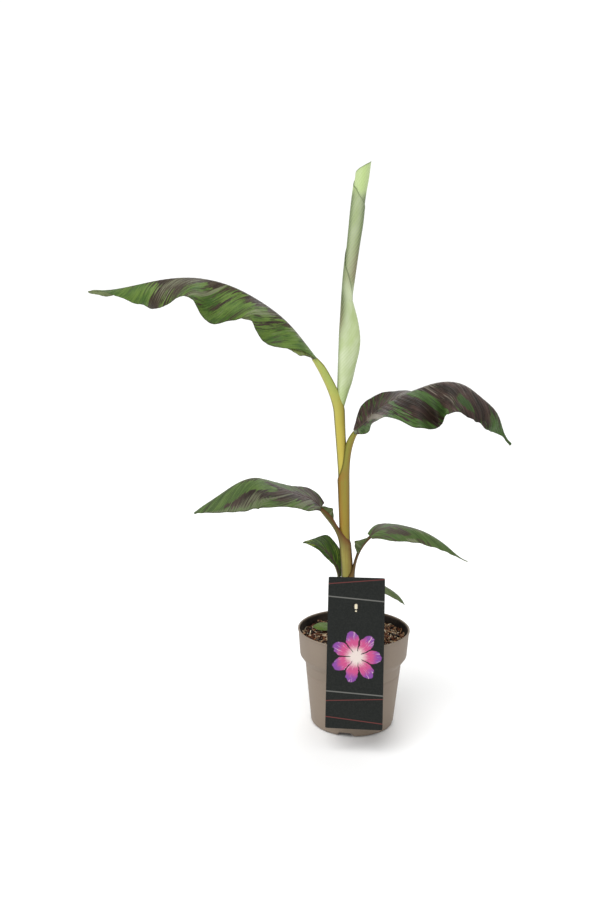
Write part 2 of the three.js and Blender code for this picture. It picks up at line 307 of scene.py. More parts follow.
class Wire:
    """What a shader node gives. Sums, differences and products of wires make Math nodes."""

    def __init__(self, paint: "Paint", socket: bpy.types.NodeSocket) -> None:
        """Keeps the socket and the paint that it belongs to."""
        self.paint, self.socket = paint, socket

    def __add__(self, other: "Value") -> "Wire":
        """This number plus another."""
        return self.paint.math("ADD", self, other)

    def __sub__(self, other: "Value") -> "Wire":
        """This number less another."""
        return self.paint.math("SUBTRACT", self, other)

    def __rsub__(self, other: float) -> "Wire":
        """Another number less this one."""
        return self.paint.math("SUBTRACT", other, self)

    def __mul__(self, other: "Value") -> "Wire":
        """This number times another."""
        return self.paint.math("MULTIPLY", self, other)


Value = Wire | float | Colour


class Paint:
    """Small helper that builds one material's nodes round a Principled shader."""

    def __init__(self, name: str) -> None:
        """Starts an empty material with one Principled shader.

        Args:
            name: The material's name.
        """
        self.mat = bpy.data.materials.new(name)
        self.mat.use_nodes = True
        self.tree = self.mat.node_tree
        self.tree.nodes.clear()
        output = self.tree.nodes.new("ShaderNodeOutputMaterial")
        self.skin = self.tree.nodes.new("ShaderNodeBsdfPrincipled")
        self.tree.links.new(self.skin.outputs[0], output.inputs[0])

    def feed(self, socket: bpy.types.NodeSocket, value: Value) -> None:
        """Links a wire to a socket, or sets the socket's number or colour.

        Args:
            socket: The input.
            value: What it gets. A colour gets a full alpha.
        """
        if isinstance(value, Wire):
            self.tree.links.new(value.socket, socket)
        elif isinstance(value, tuple) and len(socket.default_value) == 4:
            socket.default_value = (*value, 1.0)
        else:
            socket.default_value = value

    def node(self, kind: str, inputs: dict[int | str, Value], **settings: object) -> bpy.types.Node:
        """Adds a node, sets its options and feeds its inputs.

        Args:
            kind: Blender's node type.
            inputs: Input name or number to what it gets.
            **settings: The node's own options.

        Returns:
            The new node.
        """
        node = self.tree.nodes.new(kind)
        for key, value in settings.items():
            setattr(node, key, value)
        for key, value in inputs.items():
            self.feed(node.inputs[key], value)
        return node

    def math(self, operation: str, a: Value, b: Value = 0.0) -> Wire:
        """Result of one operation on one or two numbers."""
        return Wire(self, self.node("ShaderNodeMath", {0: a, 1: b}, operation=operation).outputs[0])

    def mix(self, share: Value, first: Value, second: Value) -> Wire:
        """Colour between two colours, first at share 0 and second at share 1."""
        node = self.node("ShaderNodeMix", {0: share, 6: first, 7: second}, data_type="RGBA")
        return Wire(self, node.outputs[2])

    def level(self, value: Value, low: float, high: float, to_low: float = 0.0, to_high: float = 1.0) -> Wire:
        """Maps a number from low..high to to_low..to_high with soft ends."""
        ends = {"Value": value, "From Min": low, "From Max": high, "To Min": to_low, "To Max": to_high}
        return Wire(self, self.node("ShaderNodeMapRange", ends, interpolation_type="SMOOTHSTEP").outputs[0])

    def attribute(self, name: str, output: str = "Fac") -> Wire:
        """One of the piece's own values."""
        return Wire(self, self.node("ShaderNodeAttribute", {}, attribute_name=name).outputs[output])

    def place(self) -> Wire:
        """Object coordinates, in metres."""
        return Wire(self, self.node("ShaderNodeTexCoord", {}).outputs["Object"])

    def noise(self, place: Value, scale: float, detail: float = 3.0, rough: float = 0.55) -> Wire:
        """Soft noise from 0 to 1."""
        inputs = {"Vector": place, "Scale": scale, "Detail": detail, "Roughness": rough}
        return Wire(self, self.node("ShaderNodeTexNoise", inputs).outputs["Fac"])

    def streaks(self, place: Value, scale: Point, detail: float = 3.0, rough: float = 0.55) -> Wire:
        """Noise stretched along some directions: each of the place's three numbers has its own scale."""
        wide = Wire(self, self.node("ShaderNodeMapping", {"Vector": place, "Scale": scale}).outputs[0])
        return self.noise(wide, 1.0, detail, rough)

    def waves(self, value: Wire, gap: float) -> Wire:
        """Sine of a value in tenths of a metre, one wave to each gap in millimetres."""
        return self.math("SINE", value * (2 * np.pi * 100 / gap))

    def split(self, place: Value) -> tuple[Wire, ...]:
        """The three numbers of a place."""
        return tuple(Wire(self, output) for output in self.node("ShaderNodeSeparateXYZ", {0: place}).outputs)

    def bump(self, height: Wire, distance: float, strength: float = 1.0) -> None:
        """Relief on the shader from a height, in metres at height 1."""
        node = self.node("ShaderNodeBump", {"Height": height, "Distance": distance, "Strength": strength})
        self.tree.links.new(node.outputs[0], self.skin.inputs["Normal"])

    def finish(self, colour: Value, rough: Value, **sockets: float) -> bpy.types.Material:
        """Feeds the shader.

        Args:
            colour: Its base colour.
            rough: Its roughness.
            **sockets: Its other sockets, with _ for each space in the name.

        Returns:
            The material.
        """
        self.feed(self.skin.inputs["Base Color"], colour)
        self.feed(self.skin.inputs["Roughness"], rough)
        for key, value in sockets.items():
            self.skin.inputs[key.replace("_", " ")].default_value = value
        return self.mat


def shade(red: int, green: int, blue: int) -> Colour:
    """Colour for a shader from a screen colour: the sRGB curve undone, less the studio's gain.

    Args:
        red: Its red, 0 to 255.
        green: Its green.
        blue: Its blue.

    Returns:
        The linear colour that the studio's bright light shows as the screen colour.
    """
    c = np.array([red, green, blue]) / 255
    linear = np.where(c <= 0.04045, c / 12.92, ((c + 0.055) / 1.055) ** 2.4)
    return tuple(float(x) for x in linear / STUDIO_GAIN)


@dataclass(frozen=True)
class Finish:
    """A surface finish with a name."""

    name: str

    def material(self) -> bpy.types.Material:
        """The finish as a Blender material, made once."""
        return bpy.data.materials.get(self.name) or self.build(Paint(self.name))

    def build(self, paint: Paint) -> bpy.types.Material:
        """Builds the nodes. Each finish has its own."""
        raise NotImplementedError


@dataclass(frozen=True)
class LeafFinish(Finish):
    """Living leaf: green, with dark flushes that run in streaks along the side veins.

    The piece's value "vein" holds the vein coordinate, the distance from the midrib and the share of the
    length. "flush" says how much of the dark colour shows, and a second value how much of the pale
    painted sheen and highlight.
    """

    light: Colour
    deep: Colour
    flush: Colour
    flush_deep: Colour
    under: Colour
    rib: Colour
    under_rib: Colour
    # colour of the painted sheen and highlights that stand in for light glancing off the leaf
    bloom: Colour
    rough: float = 0.42
    gloss: float = 0.2
    fine_vein_gap: float = 1.9

    def build(self, paint: Paint) -> bpy.types.Material:
        """Streaks are noise stretched along the veins, added to the flush before it is cut soft.

        Dark threads follow the veins everywhere; pale ones, painted sheen on the vein ridges, show most
        where the painted sheen value is high.

        Args:
            paint: Where the nodes go.

        Returns:
            The material.
        """
        vein = paint.attribute("vein", "Vector")
        along = paint.split(vein)[0]
        broad = paint.streaks(vein, (15.0, 4.0, 1.0), 3.0, 0.55)
        narrow = paint.streaks(vein, (44.0, 5.5, 1.0), 4.0, 0.65)
        thread = paint.streaks(vein, (58.0, 5.0, 3.0), 3.0, 0.6)
        fine = paint.streaks(vein, (170.0, 9.0, 1.0), 3.0, 0.6)
        cloud = paint.streaks(vein, (8.0, 6.0, 1.0), 3.0, 0.5)
        streak = (broad - 0.5) * 0.8 + (narrow - 0.5) * 2.2 + (thread - 0.5) * 0.9
        share = paint.level(paint.attribute("flush") + streak, 0.42, 0.56)
        tint = cloud * 0.35 + (fine * 0.35 + narrow * 0.3)
        green = paint.mix(paint.level(tint, 0.42, 0.58), self.light, self.deep)
        dark = paint.mix(paint.level(tint, 0.43, 0.58), self.flush_deep, self.flush)
        colour = paint.mix(share, green, dark)
        colour = paint.mix(paint.level(thread, 0.55, 0.68, 0.0, 0.6), colour, self.flush_deep)
        # painted sheen: pale threads on the vein ridges and pale patches stand in for light glancing off the
        # leaf
        pale = paint.attribute("bloom") * 0.32 + (1.0 - thread)
        colour = paint.mix(paint.level(pale, 0.58, 0.8, 0.0, 0.75), colour, self.bloom)
        lines = paint.waves(along, self.fine_vein_gap)
        vivid = paint.level(lines, 0.35, 1.0) * paint.level(fine, 0.35, 0.7)
        colour = paint.mix(vivid * 0.2, colour, self.light)
        below = paint.mix(paint.level(broad, 0.4, 0.7, 0.0, 0.35), self.under, self.flush)
        under = paint.attribute("under")
        colour = paint.mix(under, colour, below)
        colour = paint.mix(paint.attribute("rib"), colour, paint.mix(under, self.rib, self.under_rib))
        colour = paint.mix(paint.attribute("rim"), colour, self.flush_deep)
        paint.bump(lines * 0.6 + (fine * 1.2 + thread * 2.0), 0.00016, 0.7)
        rough = paint.level(fine, 0.3, 0.7, self.rough - 0.05, self.rough + 0.1)
        return paint.finish(colour, rough, IOR=1.45, Specular_IOR_Level=self.gloss)


@dataclass(frozen=True)
class SheathFinish(Finish):
    """Leaf sheath and stalk: waxy, with painted side shade, a reddish edge and fine lengthwise lines."""

    low: Colour
    high: Colour
    glow: Colour
    back: Colour
    line: Colour
    # colour of the painted shade on the stem's left and right sides
    flank: Colour
    heights: tuple[float, float]

    def build(self, paint: Paint) -> bpy.types.Material:
        """Colour runs from low to high with height and takes on the tint of each value.

        "back" marks the back line, "glow" the zone by the margin and "edge" the margin itself; a fourth
        value paints shade on the stem's left and right sides.

        Args:
            paint: Where the nodes go.

        Returns:
            The material.
        """
        place = paint.place()
        height = paint.split(place)[2]
        lines = paint.streaks(place, (900.0, 900.0, 22.0), 3.0, 0.6)
        cloud = paint.streaks(place, (90.0, 90.0, 26.0), 3.0, 0.55)
        sway = 0.02
        first, last = (z * MM + sway / 2 for z in self.heights)
        colour = paint.mix(paint.level(height + cloud * sway, first, last), self.low, self.high)
        soft = paint.attribute("back") * paint.level(cloud, 0.2, 0.75, 0.6, 1.0)
        colour = paint.mix(soft, colour, self.back)
        colour = paint.mix(paint.level(lines, 0.42, 0.75, 0.0, 0.28), colour, self.glow)
        # the second of these values paints shade on the stem's left and right sides
        for value, tint in (("glow", self.glow), ("flank", self.flank), ("edge", self.line)):
            colour = paint.mix(paint.attribute(value), colour, tint)
        paint.bump(lines, 0.00015, 0.6)
        rough = paint.level(cloud, 0.3, 0.7, 0.38, 0.5)
        return paint.finish(colour, rough, IOR=1.45, Specular_IOR_Level=0.25)


@dataclass(frozen=True)
class ScrollFinish(Finish):
    """Rolled young leaf: pale waxy coat over green, faint pinkish streaks and fine side veins."""

    pale: Colour
    green: Colour
    # colour of the painted shade, also used on the free margins
    shade_and_margin_grey: Colour
    pink: Colour
    tip: Colour
    vein_gap: float = 2.4

    def build(self, paint: Paint) -> bpy.types.Material:
        """Fine veins are thin lines along the vein coordinate; "blush", "shadow" and "tip" tint the roll.

        Args:
            paint: Where the nodes go.

        Returns:
            The material.
        """
        vein = paint.attribute("vein", "Vector")
        along = paint.split(vein)[0]
        cloud = paint.streaks(vein, (5.0, 5.0, 5.0), 3.0, 0.5)
        fine = paint.streaks(vein, (150.0, 8.0, 1.0), 3.0, 0.6)
        lines = paint.waves(along, self.vein_gap)
        colour = paint.mix(paint.level(cloud, 0.3, 0.7), self.pale, self.green)
        # painted shade: the shadow value darkens the roll towards this grey
        colour = paint.mix(paint.attribute("shadow"), colour, self.shade_and_margin_grey)
        pinkish = paint.attribute("blush") * paint.level(fine, 0.35, 0.6, 0.5, 1.0)
        colour = paint.mix(pinkish, colour, self.pink)
        colour = paint.mix(paint.attribute("tip"), colour, self.tip)
        colour = paint.mix(paint.level(lines, 0.4, 1.0, 0.0, 0.4), colour, self.green)
        # the free margins darken to the same grey
        colour = paint.mix(paint.attribute("edge"), colour, self.shade_and_margin_grey)
        paint.bump(lines * 0.35 + fine, 0.0001, 0.5)
        return paint.finish(colour, paint.level(fine, 0.3, 0.7, 0.45, 0.58), IOR=1.42)


@dataclass(frozen=True)
class PotFinish(Finish):
    """Thin matt plastic, faintly mottled, with the soft ring lines of its mould."""

    base: Colour
    worn: Colour
    # near-black colour of the painted shade on the inside wall
    inside_shade_colour: Colour

    def build(self, paint: Paint) -> bpy.types.Material:
        """Mottling is two noises; the fine one also roughens the surface. Its inside wall has painted shade.

        Args:
            paint: Where the nodes go.

        Returns:
            The material.
        """
        place = paint.place()
        broad = paint.noise(place, 38.0, 4.0, 0.55)
        fine = paint.noise(place, 900.0, 3.0, 0.6)
        rings = paint.streaks(place, (3.0, 3.0, 420.0), 2.0, 0.5)
        # painted shade: the inside wall above the mix goes near black, where shadow falls
        inside_shade = paint.attribute("inside_shade") * paint.level(broad, 0.25, 0.6, 0.82, 1.0)
        mottle = broad * 0.6 + fine * 0.4
        colour = paint.mix(paint.level(mottle, 0.38, 0.66, 0.0, 0.55), self.base, self.worn)
        colour = paint.mix(inside_shade, colour, self.inside_shade_colour)
        paint.bump(fine + rings * 0.6, 0.00006, 0.45)
        rough = paint.level(mottle, 0.35, 0.7, 0.5, 0.64)
        return paint.finish(colour, rough, IOR=1.46, Specular_IOR_Level=0.3)


@dataclass(frozen=True)
class BarkFinish(Finish):
    """Moist bark and fibre: each chip takes its tone from the value "tone"."""

    tones: tuple[Colour, ...]

    def build(self, paint: Paint) -> bpy.types.Material:
        """Tone picks a place on a ramp; grain is noise stretched along the piece.

        Args:
            paint: Where the nodes go.

        Returns:
            The material.
        """
        grain = paint.streaks(paint.place(), (500.0, 900.0, 700.0), 4.0, 0.65)
        ramp = paint.node("ShaderNodeValToRGB", {0: paint.attribute("tone") + (grain - 0.5) * 0.3})
        stops = ramp.color_ramp.elements
        for k, colour in enumerate(self.tones):
            at = k / (len(self.tones) - 1)
            stop = stops[k] if k < 2 else stops.new(at)
            stop.position, stop.color = at, (*colour, 1.0)
        paint.bump(grain, 0.0005, 0.8)
        tone = Wire(paint, ramp.outputs[0])
        return paint.finish(tone, paint.level(grain, 0.3, 0.7, 0.62, 0.92), Specular_IOR_Level=0.2)


@dataclass(frozen=True)
class CardFinish(Finish):
    """Satin charcoal card with a plain printed rosette and a few thin slanted lines.

    The value "print" holds a place on the card in tenths of a metre. Each stripe is its height at the
    card's middle, its slope, half its width and whether it is red. The rosette is its centre across and
    up and its radius.
    """

    base: Colour
    line: Colour
    red_line: Colour
    petals: tuple[Colour, Colour, Colour, Colour]
    rosette: Point = (1.0, -4.0, 25.0)
    petal_count: int = 7
    stripes: tuple[tuple[float, float, float, bool], ...] = (
        (71.5, 0.10, 0.5, True), (54.0, -0.07, 0.7, False), (-40.5, -0.05, 0.7, False),
        (-47.0, 0.06, 0.45, True), (-67.0, -0.09, 0.5, True))

    def build(self, paint: Paint) -> bpy.types.Material:
        """Prints the front face: the stripes, and then the rosette over them.

        A stripe is where the height less the line's height is under half its width. The rosette's
        outline is a circle whose radius swings with the angle, with gaps between the petals and a
        whole heart, and brushed rings colour it.

        Args:
            paint: Where the nodes go.

        Returns:
            The material.
        """
        place = paint.attribute("print", "Vector")
        x, depth, z = paint.split(place)
        front = paint.level(depth, -0.002, 0.0, 1.0, 0.0)
        grain = paint.noise(place, 60.0, 4.0, 0.6)
        colour = paint.mix(paint.level(grain, 0.35, 0.7, 0.0, 0.06), self.base, self.line)
        for at, slope, half, red in self.stripes:
            off = paint.math("ABSOLUTE", z - (x * slope + at / 100))
            shown = paint.level(off, 0.6 * half / 100, 1.1 * half / 100, 1.0, 0.0)
            colour = paint.mix(front * shown, colour, self.red_line if red else self.line)
        cx, cz, size = self.rosette
        brush = (paint.noise(place, 22.0, 3.0, 0.6) - 0.5) * 0.05
        dx, dz = x + brush - cx / 100, z - cz / 100
        radius = paint.math("SQRT", dx * dx + dz * dz) * (100 / size)
        angle = paint.math("ARCTAN2", dz, dx)
        lobes = paint.math("ABSOLUTE", paint.math("COSINE", angle * (self.petal_count / 2)))
        inside = paint.level(lobes * 0.42 + 0.62 - radius, -0.02, 0.03)
        gap = paint.level(lobes, 0.10, 0.22)
        ring = Wire(paint, paint.node("ShaderNodeCombineXYZ", {0: angle * 9.0, 1: radius}).outputs[0])
        streaks = paint.noise(ring, 1.6, 3.0, 0.6)
        rough_radius = radius + streaks * 0.5
        tinted = paint.mix(paint.level(rough_radius, 0.45, 0.75), self.petals[0], self.petals[1])
        tinted = paint.mix(paint.level(rough_radius, 0.85, 1.15), tinted, self.petals[2])
        tinted = paint.mix(paint.level(streaks, 0.56, 0.68), tinted, self.petals[3])
        petals = paint.math("MAXIMUM", gap, paint.level(radius, 0.2, 0.26, 1.0, 0.0))
        colour = paint.mix(front * (inside * petals), colour, tinted)
        paint.bump(grain, 0.00003, 0.4)
        return paint.finish(colour, paint.level(grain, 0.3, 0.7, 0.4, 0.52), Specular_IOR_Level=0.14)


@dataclass(frozen=True)
class PlasticFinish(Finish):
    """Small moulded plastic piece with a faint cloudiness."""

    base: Colour
    cloud: Colour

    def build(self, paint: Paint) -> bpy.types.Material:
        """Two close colours mixed by a soft noise.

        Args:
            paint: Where the nodes go.

        Returns:
            The material.
        """
        noise = paint.noise(paint.place(), 300.0, 3.0, 0.5)
        paint.bump(noise, 0.00005, 0.4)
        colour = paint.mix(paint.level(noise, 0.35, 0.65), self.base, self.cloud)
        return paint.finish(colour, paint.level(noise, 0.3, 0.7, 0.4, 0.5))


@dataclass(frozen=True)
class FloorFinish(Finish):
    """Plain pale floor."""

    base: Colour
    worn: Colour

    def build(self, paint: Paint) -> bpy.types.Material:
        """Two close pale colours mixed by a broad noise."""
        noise = paint.noise(paint.place(), 1.5, 2.0, 0.5)
        return paint.finish(paint.mix(paint.level(noise, 0.3, 0.7), self.base, self.worn), 0.9)


# ---------------------------------------------------------------- pot and potting mix


@dataclass
class Pot:
    """Thin nursery pot: tapered body, stepped collar, beaded lip and four drain notches in its heel."""

    height: float = 104.3
    rim: float = 59.6
    collar: float = 56.9
    collar_foot: float = 76.0
    step: float = 7.6
    body: float = 51.2
    heel: float = 44.4
    wall: float = 1.1
    floor: float = 2.0
    segments: int = 240
    notch_half: float = 5.8
    notch_bevel: float = 4.2
    notch_height: float = 4.2
    notch_reach: float = 9.0
    notch_first: float = 258.0
    notches: int = 4
    heel_round: float = 3.2
    ring_drop: float = 10.5
    ring_deep: float = 0.28
    bead: float = 1.0
    # the third colour is the painted shade of the inside wall
    finish: Finish = PotFinish("pot_plastic", shade(146, 131, 116), shade(156, 142, 127), shade(24, 15, 9))

    def outline(self) -> Array:
        """Radius and height from the underside, up the outside, over the lip and down the inside.

        Straight tapers joined by short arcs: a heel arc, the collar's chamfer, a shallow ring groove
        under the collar and a small rolled bead at the lip.

        Returns:
            Profile points, outside first.
        """
        heel_r, body_r, collar_r, corner = self.heel, self.body, self.collar, self.heel_round
        collar_z, body_z = self.collar_foot, self.collar_foot - self.step
        heel_arc = np.radians(np.linspace(-90, -4, 7))
        heel = np.stack([heel_r - corner + corner * np.cos(heel_arc), corner + corner * np.sin(heel_arc)], -1)
        low = [[r, 0.0] for r in (4.0, 14.0, 24.0, heel_r - 11, heel_r - 8, heel_r - 5)]
        body = [[heel_r + (body_r - heel_r) * u, corner + (body_z - 0.6 - corner) * u]
                for u in (0.06, 0.12, 0.25, 0.45, 0.65, 0.8)]
        ring_z = body_z - self.ring_drop
        ring_r = heel_r + (body_r - heel_r) * (ring_z - corner) / (body_z - 0.6 - corner)
        ring = [[ring_r, ring_z - 0.9], [ring_r - self.ring_deep, ring_z - 0.3],
                [ring_r - self.ring_deep, ring_z + 0.3], [ring_r + 0.1, ring_z + 0.9]]
        step = [[body_r, body_z - 0.7], [body_r + 0.2, body_z - 0.1], [body_r + 0.8, body_z + 0.7],
                [collar_r - 0.9, collar_z - 1.2], [collar_r - 0.2, collar_z - 0.1],
                [collar_r + 0.08, collar_z + 1.2]]
        wall = [[collar_r + (self.rim - 0.5 - collar_r) * u, collar_z + (self.height - collar_z) * u]
                for u in (0.3, 0.6, 0.9, 0.955)]
        bead_arc = np.radians(np.linspace(-40, 220, 11))
        bead = np.stack([self.rim - self.bead + self.bead * np.cos(bead_arc),
                         self.height - self.bead + self.bead * np.sin(bead_arc)], -1)
        inside = [[self.rim - self.bead - self.wall, self.height - 3.0], [collar_r - self.wall, collar_z + 1],
                  [body_r - self.wall, body_z], [heel_r - self.wall, 6.5], [heel_r - 3.5, self.floor + 0.6],
                  [heel_r - 8.0, self.floor], [20.0, self.floor], [4.0, self.floor]]
        return np.concatenate([low, heel, body, ring, step, wall, bead, inside])

    def build(self) -> None:
        """Turns the outline and pushes the drain notches up into the heel.

        A point near a notch rises to the notch's height by a share that falls to 0 over its bevel,
        and that fades out towards the middle of the underside. The floor inside rises over it.
        """
        surface = Surface.turned(self.outline(), self.segments)
        p = surface.points
        angle = np.degrees(np.arctan2(p[:, 1], p[:, 0]))
        radius = np.hypot(p[:, 0], p[:, 1])
        pitch = 360 / self.notches
        off = (angle - self.notch_first + pitch / 2) % pitch - pitch / 2
        arc = np.abs(np.radians(off)) * self.heel
        share = 1 - ease((arc - self.notch_half) / self.notch_bevel)
        share = share * ease((radius - (self.heel - self.notch_reach - 3)) / 3)
        lifted = np.maximum(p[:, 2], self.notch_height * share)
        floor_lift = self.floor + 1.2 + (self.notch_height - self.floor) * share
        inner = (p[:, 2] >= self.floor - 0.1) & (radius < self.heel - self.wall + 0.2) & (p[:, 2] < 8)
        p[:, 2] = np.where(inner & (share > 0.02), np.maximum(lifted, floor_lift * (share > 0.3)), lifted)
        skin = 0.9
        outer = np.interp(p[:, 2], [0, self.collar_foot, self.height], [self.heel, self.collar, self.rim])
        inside = (radius < outer - skin) * (p[:, 2] > self.collar_foot + skin)
        # painted shade on the inside wall, from the collar up to just under the lip
        surface.values["inside_shade"] = (inside * ease((self.height - skin - p[:, 2]) / 1.2))[:, None]
        put("pot_shell", surface, self.finish, "pot", ("pot",), 40)


@dataclass
class PottingMix:
    """Bark chips and fibres on a bed that fills the pot to just under its lip."""

    top: float = 94.6
    reach: float = 56.2
    chips: int = 1900
    chip_spread: float = 53.5
    chip_limit: float = 57.0
    chip_longest: float = 11.0
    fibres: int = 760
    fibre_spread: float = 52.0
    fibre_limit: float = 55.0
    seed: int = 11
    finish: Finish = BarkFinish("bark_and_fibre", (
        shade(14, 9, 6), shade(48, 25, 15), shade(104, 60, 37), shade(142, 94, 62), shade(206, 172, 132),
        shade(250, 236, 206)))

    def relief(self, x: Array, y: Array) -> Array:
        """Height of the bed: two noises, a low crown round the stem and a dip at the wall.

        Args:
            x: Place across.
            y: Place away.

        Returns:
            The height at each place.
        """
        radius = np.hypot(x, y)
        broad, fine = ripple_noise(x / 26, y / 26, self.seed), ripple_noise(x / 9, y / 9, self.seed + 1)
        crown, dip = bell((radius - 6) / 20), ease((radius - 48) / 9)
        return self.top + 1.1 * broad + 0.7 * fine + 1.4 * crown - 1.2 * dip

    def bed(self) -> Surface:
        """The bed: a disc whose height is the relief, closed by a wall and a floor underneath.

        Returns:
            The bed, with its tone.
        """
        segments = 160
        turn = np.linspace(0, 2 * np.pi, segments, endpoint=False)
        radius = self.reach * np.linspace(0.02, 1, 46)[::-1, None]
        x, y = radius * np.cos(turn), radius * np.sin(turn)
        top = np.stack([x, y, self.relief(x, y)], -1)
        sides = np.array([[41.0, 3.5], [42.5, 8.0], [49.4, 69.0], [55.2, 76.0]])
        wall = np.stack([sides[:, :1] * np.cos(turn), sides[:, :1] * np.sin(turn),
                         np.repeat(sides[:, 1:], segments, 1)], -1)
        rings = np.concatenate([wall, top])
        tone = 0.08 + 0.08 * ripple_noise(rings[..., 0] / 5, rings[..., 1] / 5, self.seed + 2)
        return Surface.loft(rings, {"tone": tone[..., None]})

    def scatter(self) -> Surface:
        """Bark chips: one eight-cornered block, stretched, knocked out of square, turned and strewn.

        Returns:
            All chips as one mesh, each with its own tone.
        """
        draw = np.random.default_rng(self.seed + 3)
        n = self.chips
        radius = self.chip_spread * np.sqrt(draw.uniform(0.004, 1, n))
        turn = draw.uniform(0, 2 * np.pi, n)
        length = np.minimum(draw.gamma(4.0, 1.05, n) + 1.6, self.chip_longest)
        size = np.stack([length, draw.uniform(1.2, 3.0, n), draw.uniform(0.6, 1.7, n)], -1)
        corners = np.array([[i, j, k] for k in (-0.5, 0.5) for j in (-0.5, 0.5) for i in (-0.5, 0.5)])
        block = corners[None] * size[:, None] * (1 + draw.uniform(-0.3, 0.3, (n, 8, 3)))
        heading, tilt, roll = draw.uniform(0, LOOSE_TURN, n), draw.normal(0, 0.32, n), draw.normal(0, 0.4, n)
        ch, sh, ct, st, cr, sr = (f(a) for a in (heading, tilt, roll) for f in (np.cos, np.sin))
        zero, one = np.zeros(n), np.ones(n)
        about_z = np.stack([ch, -sh, zero, sh, ch, zero, zero, zero, one], -1).reshape(n, 3, 3)
        about_y = np.stack([ct, zero, st, zero, one, zero, -st, zero, ct], -1).reshape(n, 3, 3)
        about_x = np.stack([one, zero, zero, zero, cr, -sr, zero, sr, cr], -1).reshape(n, 3, 3)
        block = np.einsum("nij,nkj->nki", about_z @ about_y @ about_x, block)
        x, y = radius * np.cos(turn), radius * np.sin(turn)
        block += np.stack([x, y, self.relief(x, y) + draw.uniform(-0.3, 1.5, n)], -1)[:, None]
        far = np.hypot(block[..., 0], block[..., 1])
        block[..., :2] *= np.minimum(1, self.chip_limit / far)[..., None]
        box = np.array([[0, 2, 3, 1], [4, 5, 7, 6], [0, 1, 5, 4], [2, 6, 7, 3], [0, 4, 6, 2], [1, 3, 7, 5]])
        faces = (box[None] + 8 * np.arange(n)[:, None, None]).reshape(-1, 4)
        tone = np.repeat(np.clip(draw.beta(1.1, 2.3, n), 0.03, 1), 8)[:, None]
        return Surface(block.reshape(-1, 3), [faces], {"tone": tone})

    def strands(self) -> Surface:
        """Fibres: thin three-sided tubes along short arcs laid on the bed.

        Returns:
            All fibres as one mesh, pale in tone.
        """
        draw = np.random.default_rng(self.seed + 5)
        n, steps = self.fibres, 7
        radius = self.fibre_spread * np.sqrt(draw.uniform(0.01, 1, n))
        turn = draw.uniform(0, LOOSE_TURN, n)
        heading, bend = draw.uniform(0, LOOSE_TURN, n), draw.normal(0, 1.1, n)
        length = draw.gamma(4.5, 2.1, n) + 3
        s = np.linspace(-0.5, 0.5, steps)
        way = heading[:, None] + bend[:, None] * s
        stride = length[:, None] / steps
        x = (radius * np.cos(turn))[:, None] + np.cumsum(np.cos(way) * stride, 1)
        y = (radius * np.sin(turn))[:, None] + np.cumsum(np.sin(way) * stride, 1)
        far = np.hypot(x, y)
        x, y = x * np.minimum(1, self.fibre_limit / far), y * np.minimum(1, self.fibre_limit / far)
        z = self.relief(x, y) + draw.uniform(0.5, 2.0, n)[:, None] + 0.9 * np.sin(6 * s + turn[:, None])
        thick = draw.uniform(0.2, 0.62, n)[:, None] * (1 - 1.6 * s * s)
        around = np.array([0.5, 2.6, 4.7])
        side = np.stack([-np.sin(way), np.cos(way), 0 * way], -1)
        rise = np.array([0.0, 0.0, 1.0])
        ring = (np.stack([x, y, z], -1)[:, :, None] + thick[..., None, None] * (
            np.cos(around)[:, None] * side[:, :, None] + np.sin(around)[:, None] * rise))
        tube = grid_quads(steps, 3, closed=True)
        faces = (tube[None] + 3 * steps * np.arange(n)[:, None, None]).reshape(-1, 4)
        caps = np.array([[2, 1, 0], [3 * steps - 3, 3 * steps - 2, 3 * steps - 1]])
        ends = (caps[None] + 3 * steps * np.arange(n)[:, None, None]).reshape(-1, 3)
        tone = np.repeat(np.clip(draw.normal(0.8, 0.18, n), 0.3, 1), 3 * steps)[:, None]
        return Surface(ring.reshape(-1, 3), [faces, ends], {"tone": tone})

    def build(self) -> None:
        """Puts the bed, the chips and the fibres into the pot."""
        put("potting_bed", self.bed(), self.finish, "potting_mix", ("potting_mix",), 60)
        put("bark_chips", self.scatter(), self.finish, "potting_mix", (), 20)
        put("mix_fibres", self.strands(), self.finish, "potting_mix", (), 80)


# ---------------------------------------------------------------- leaves


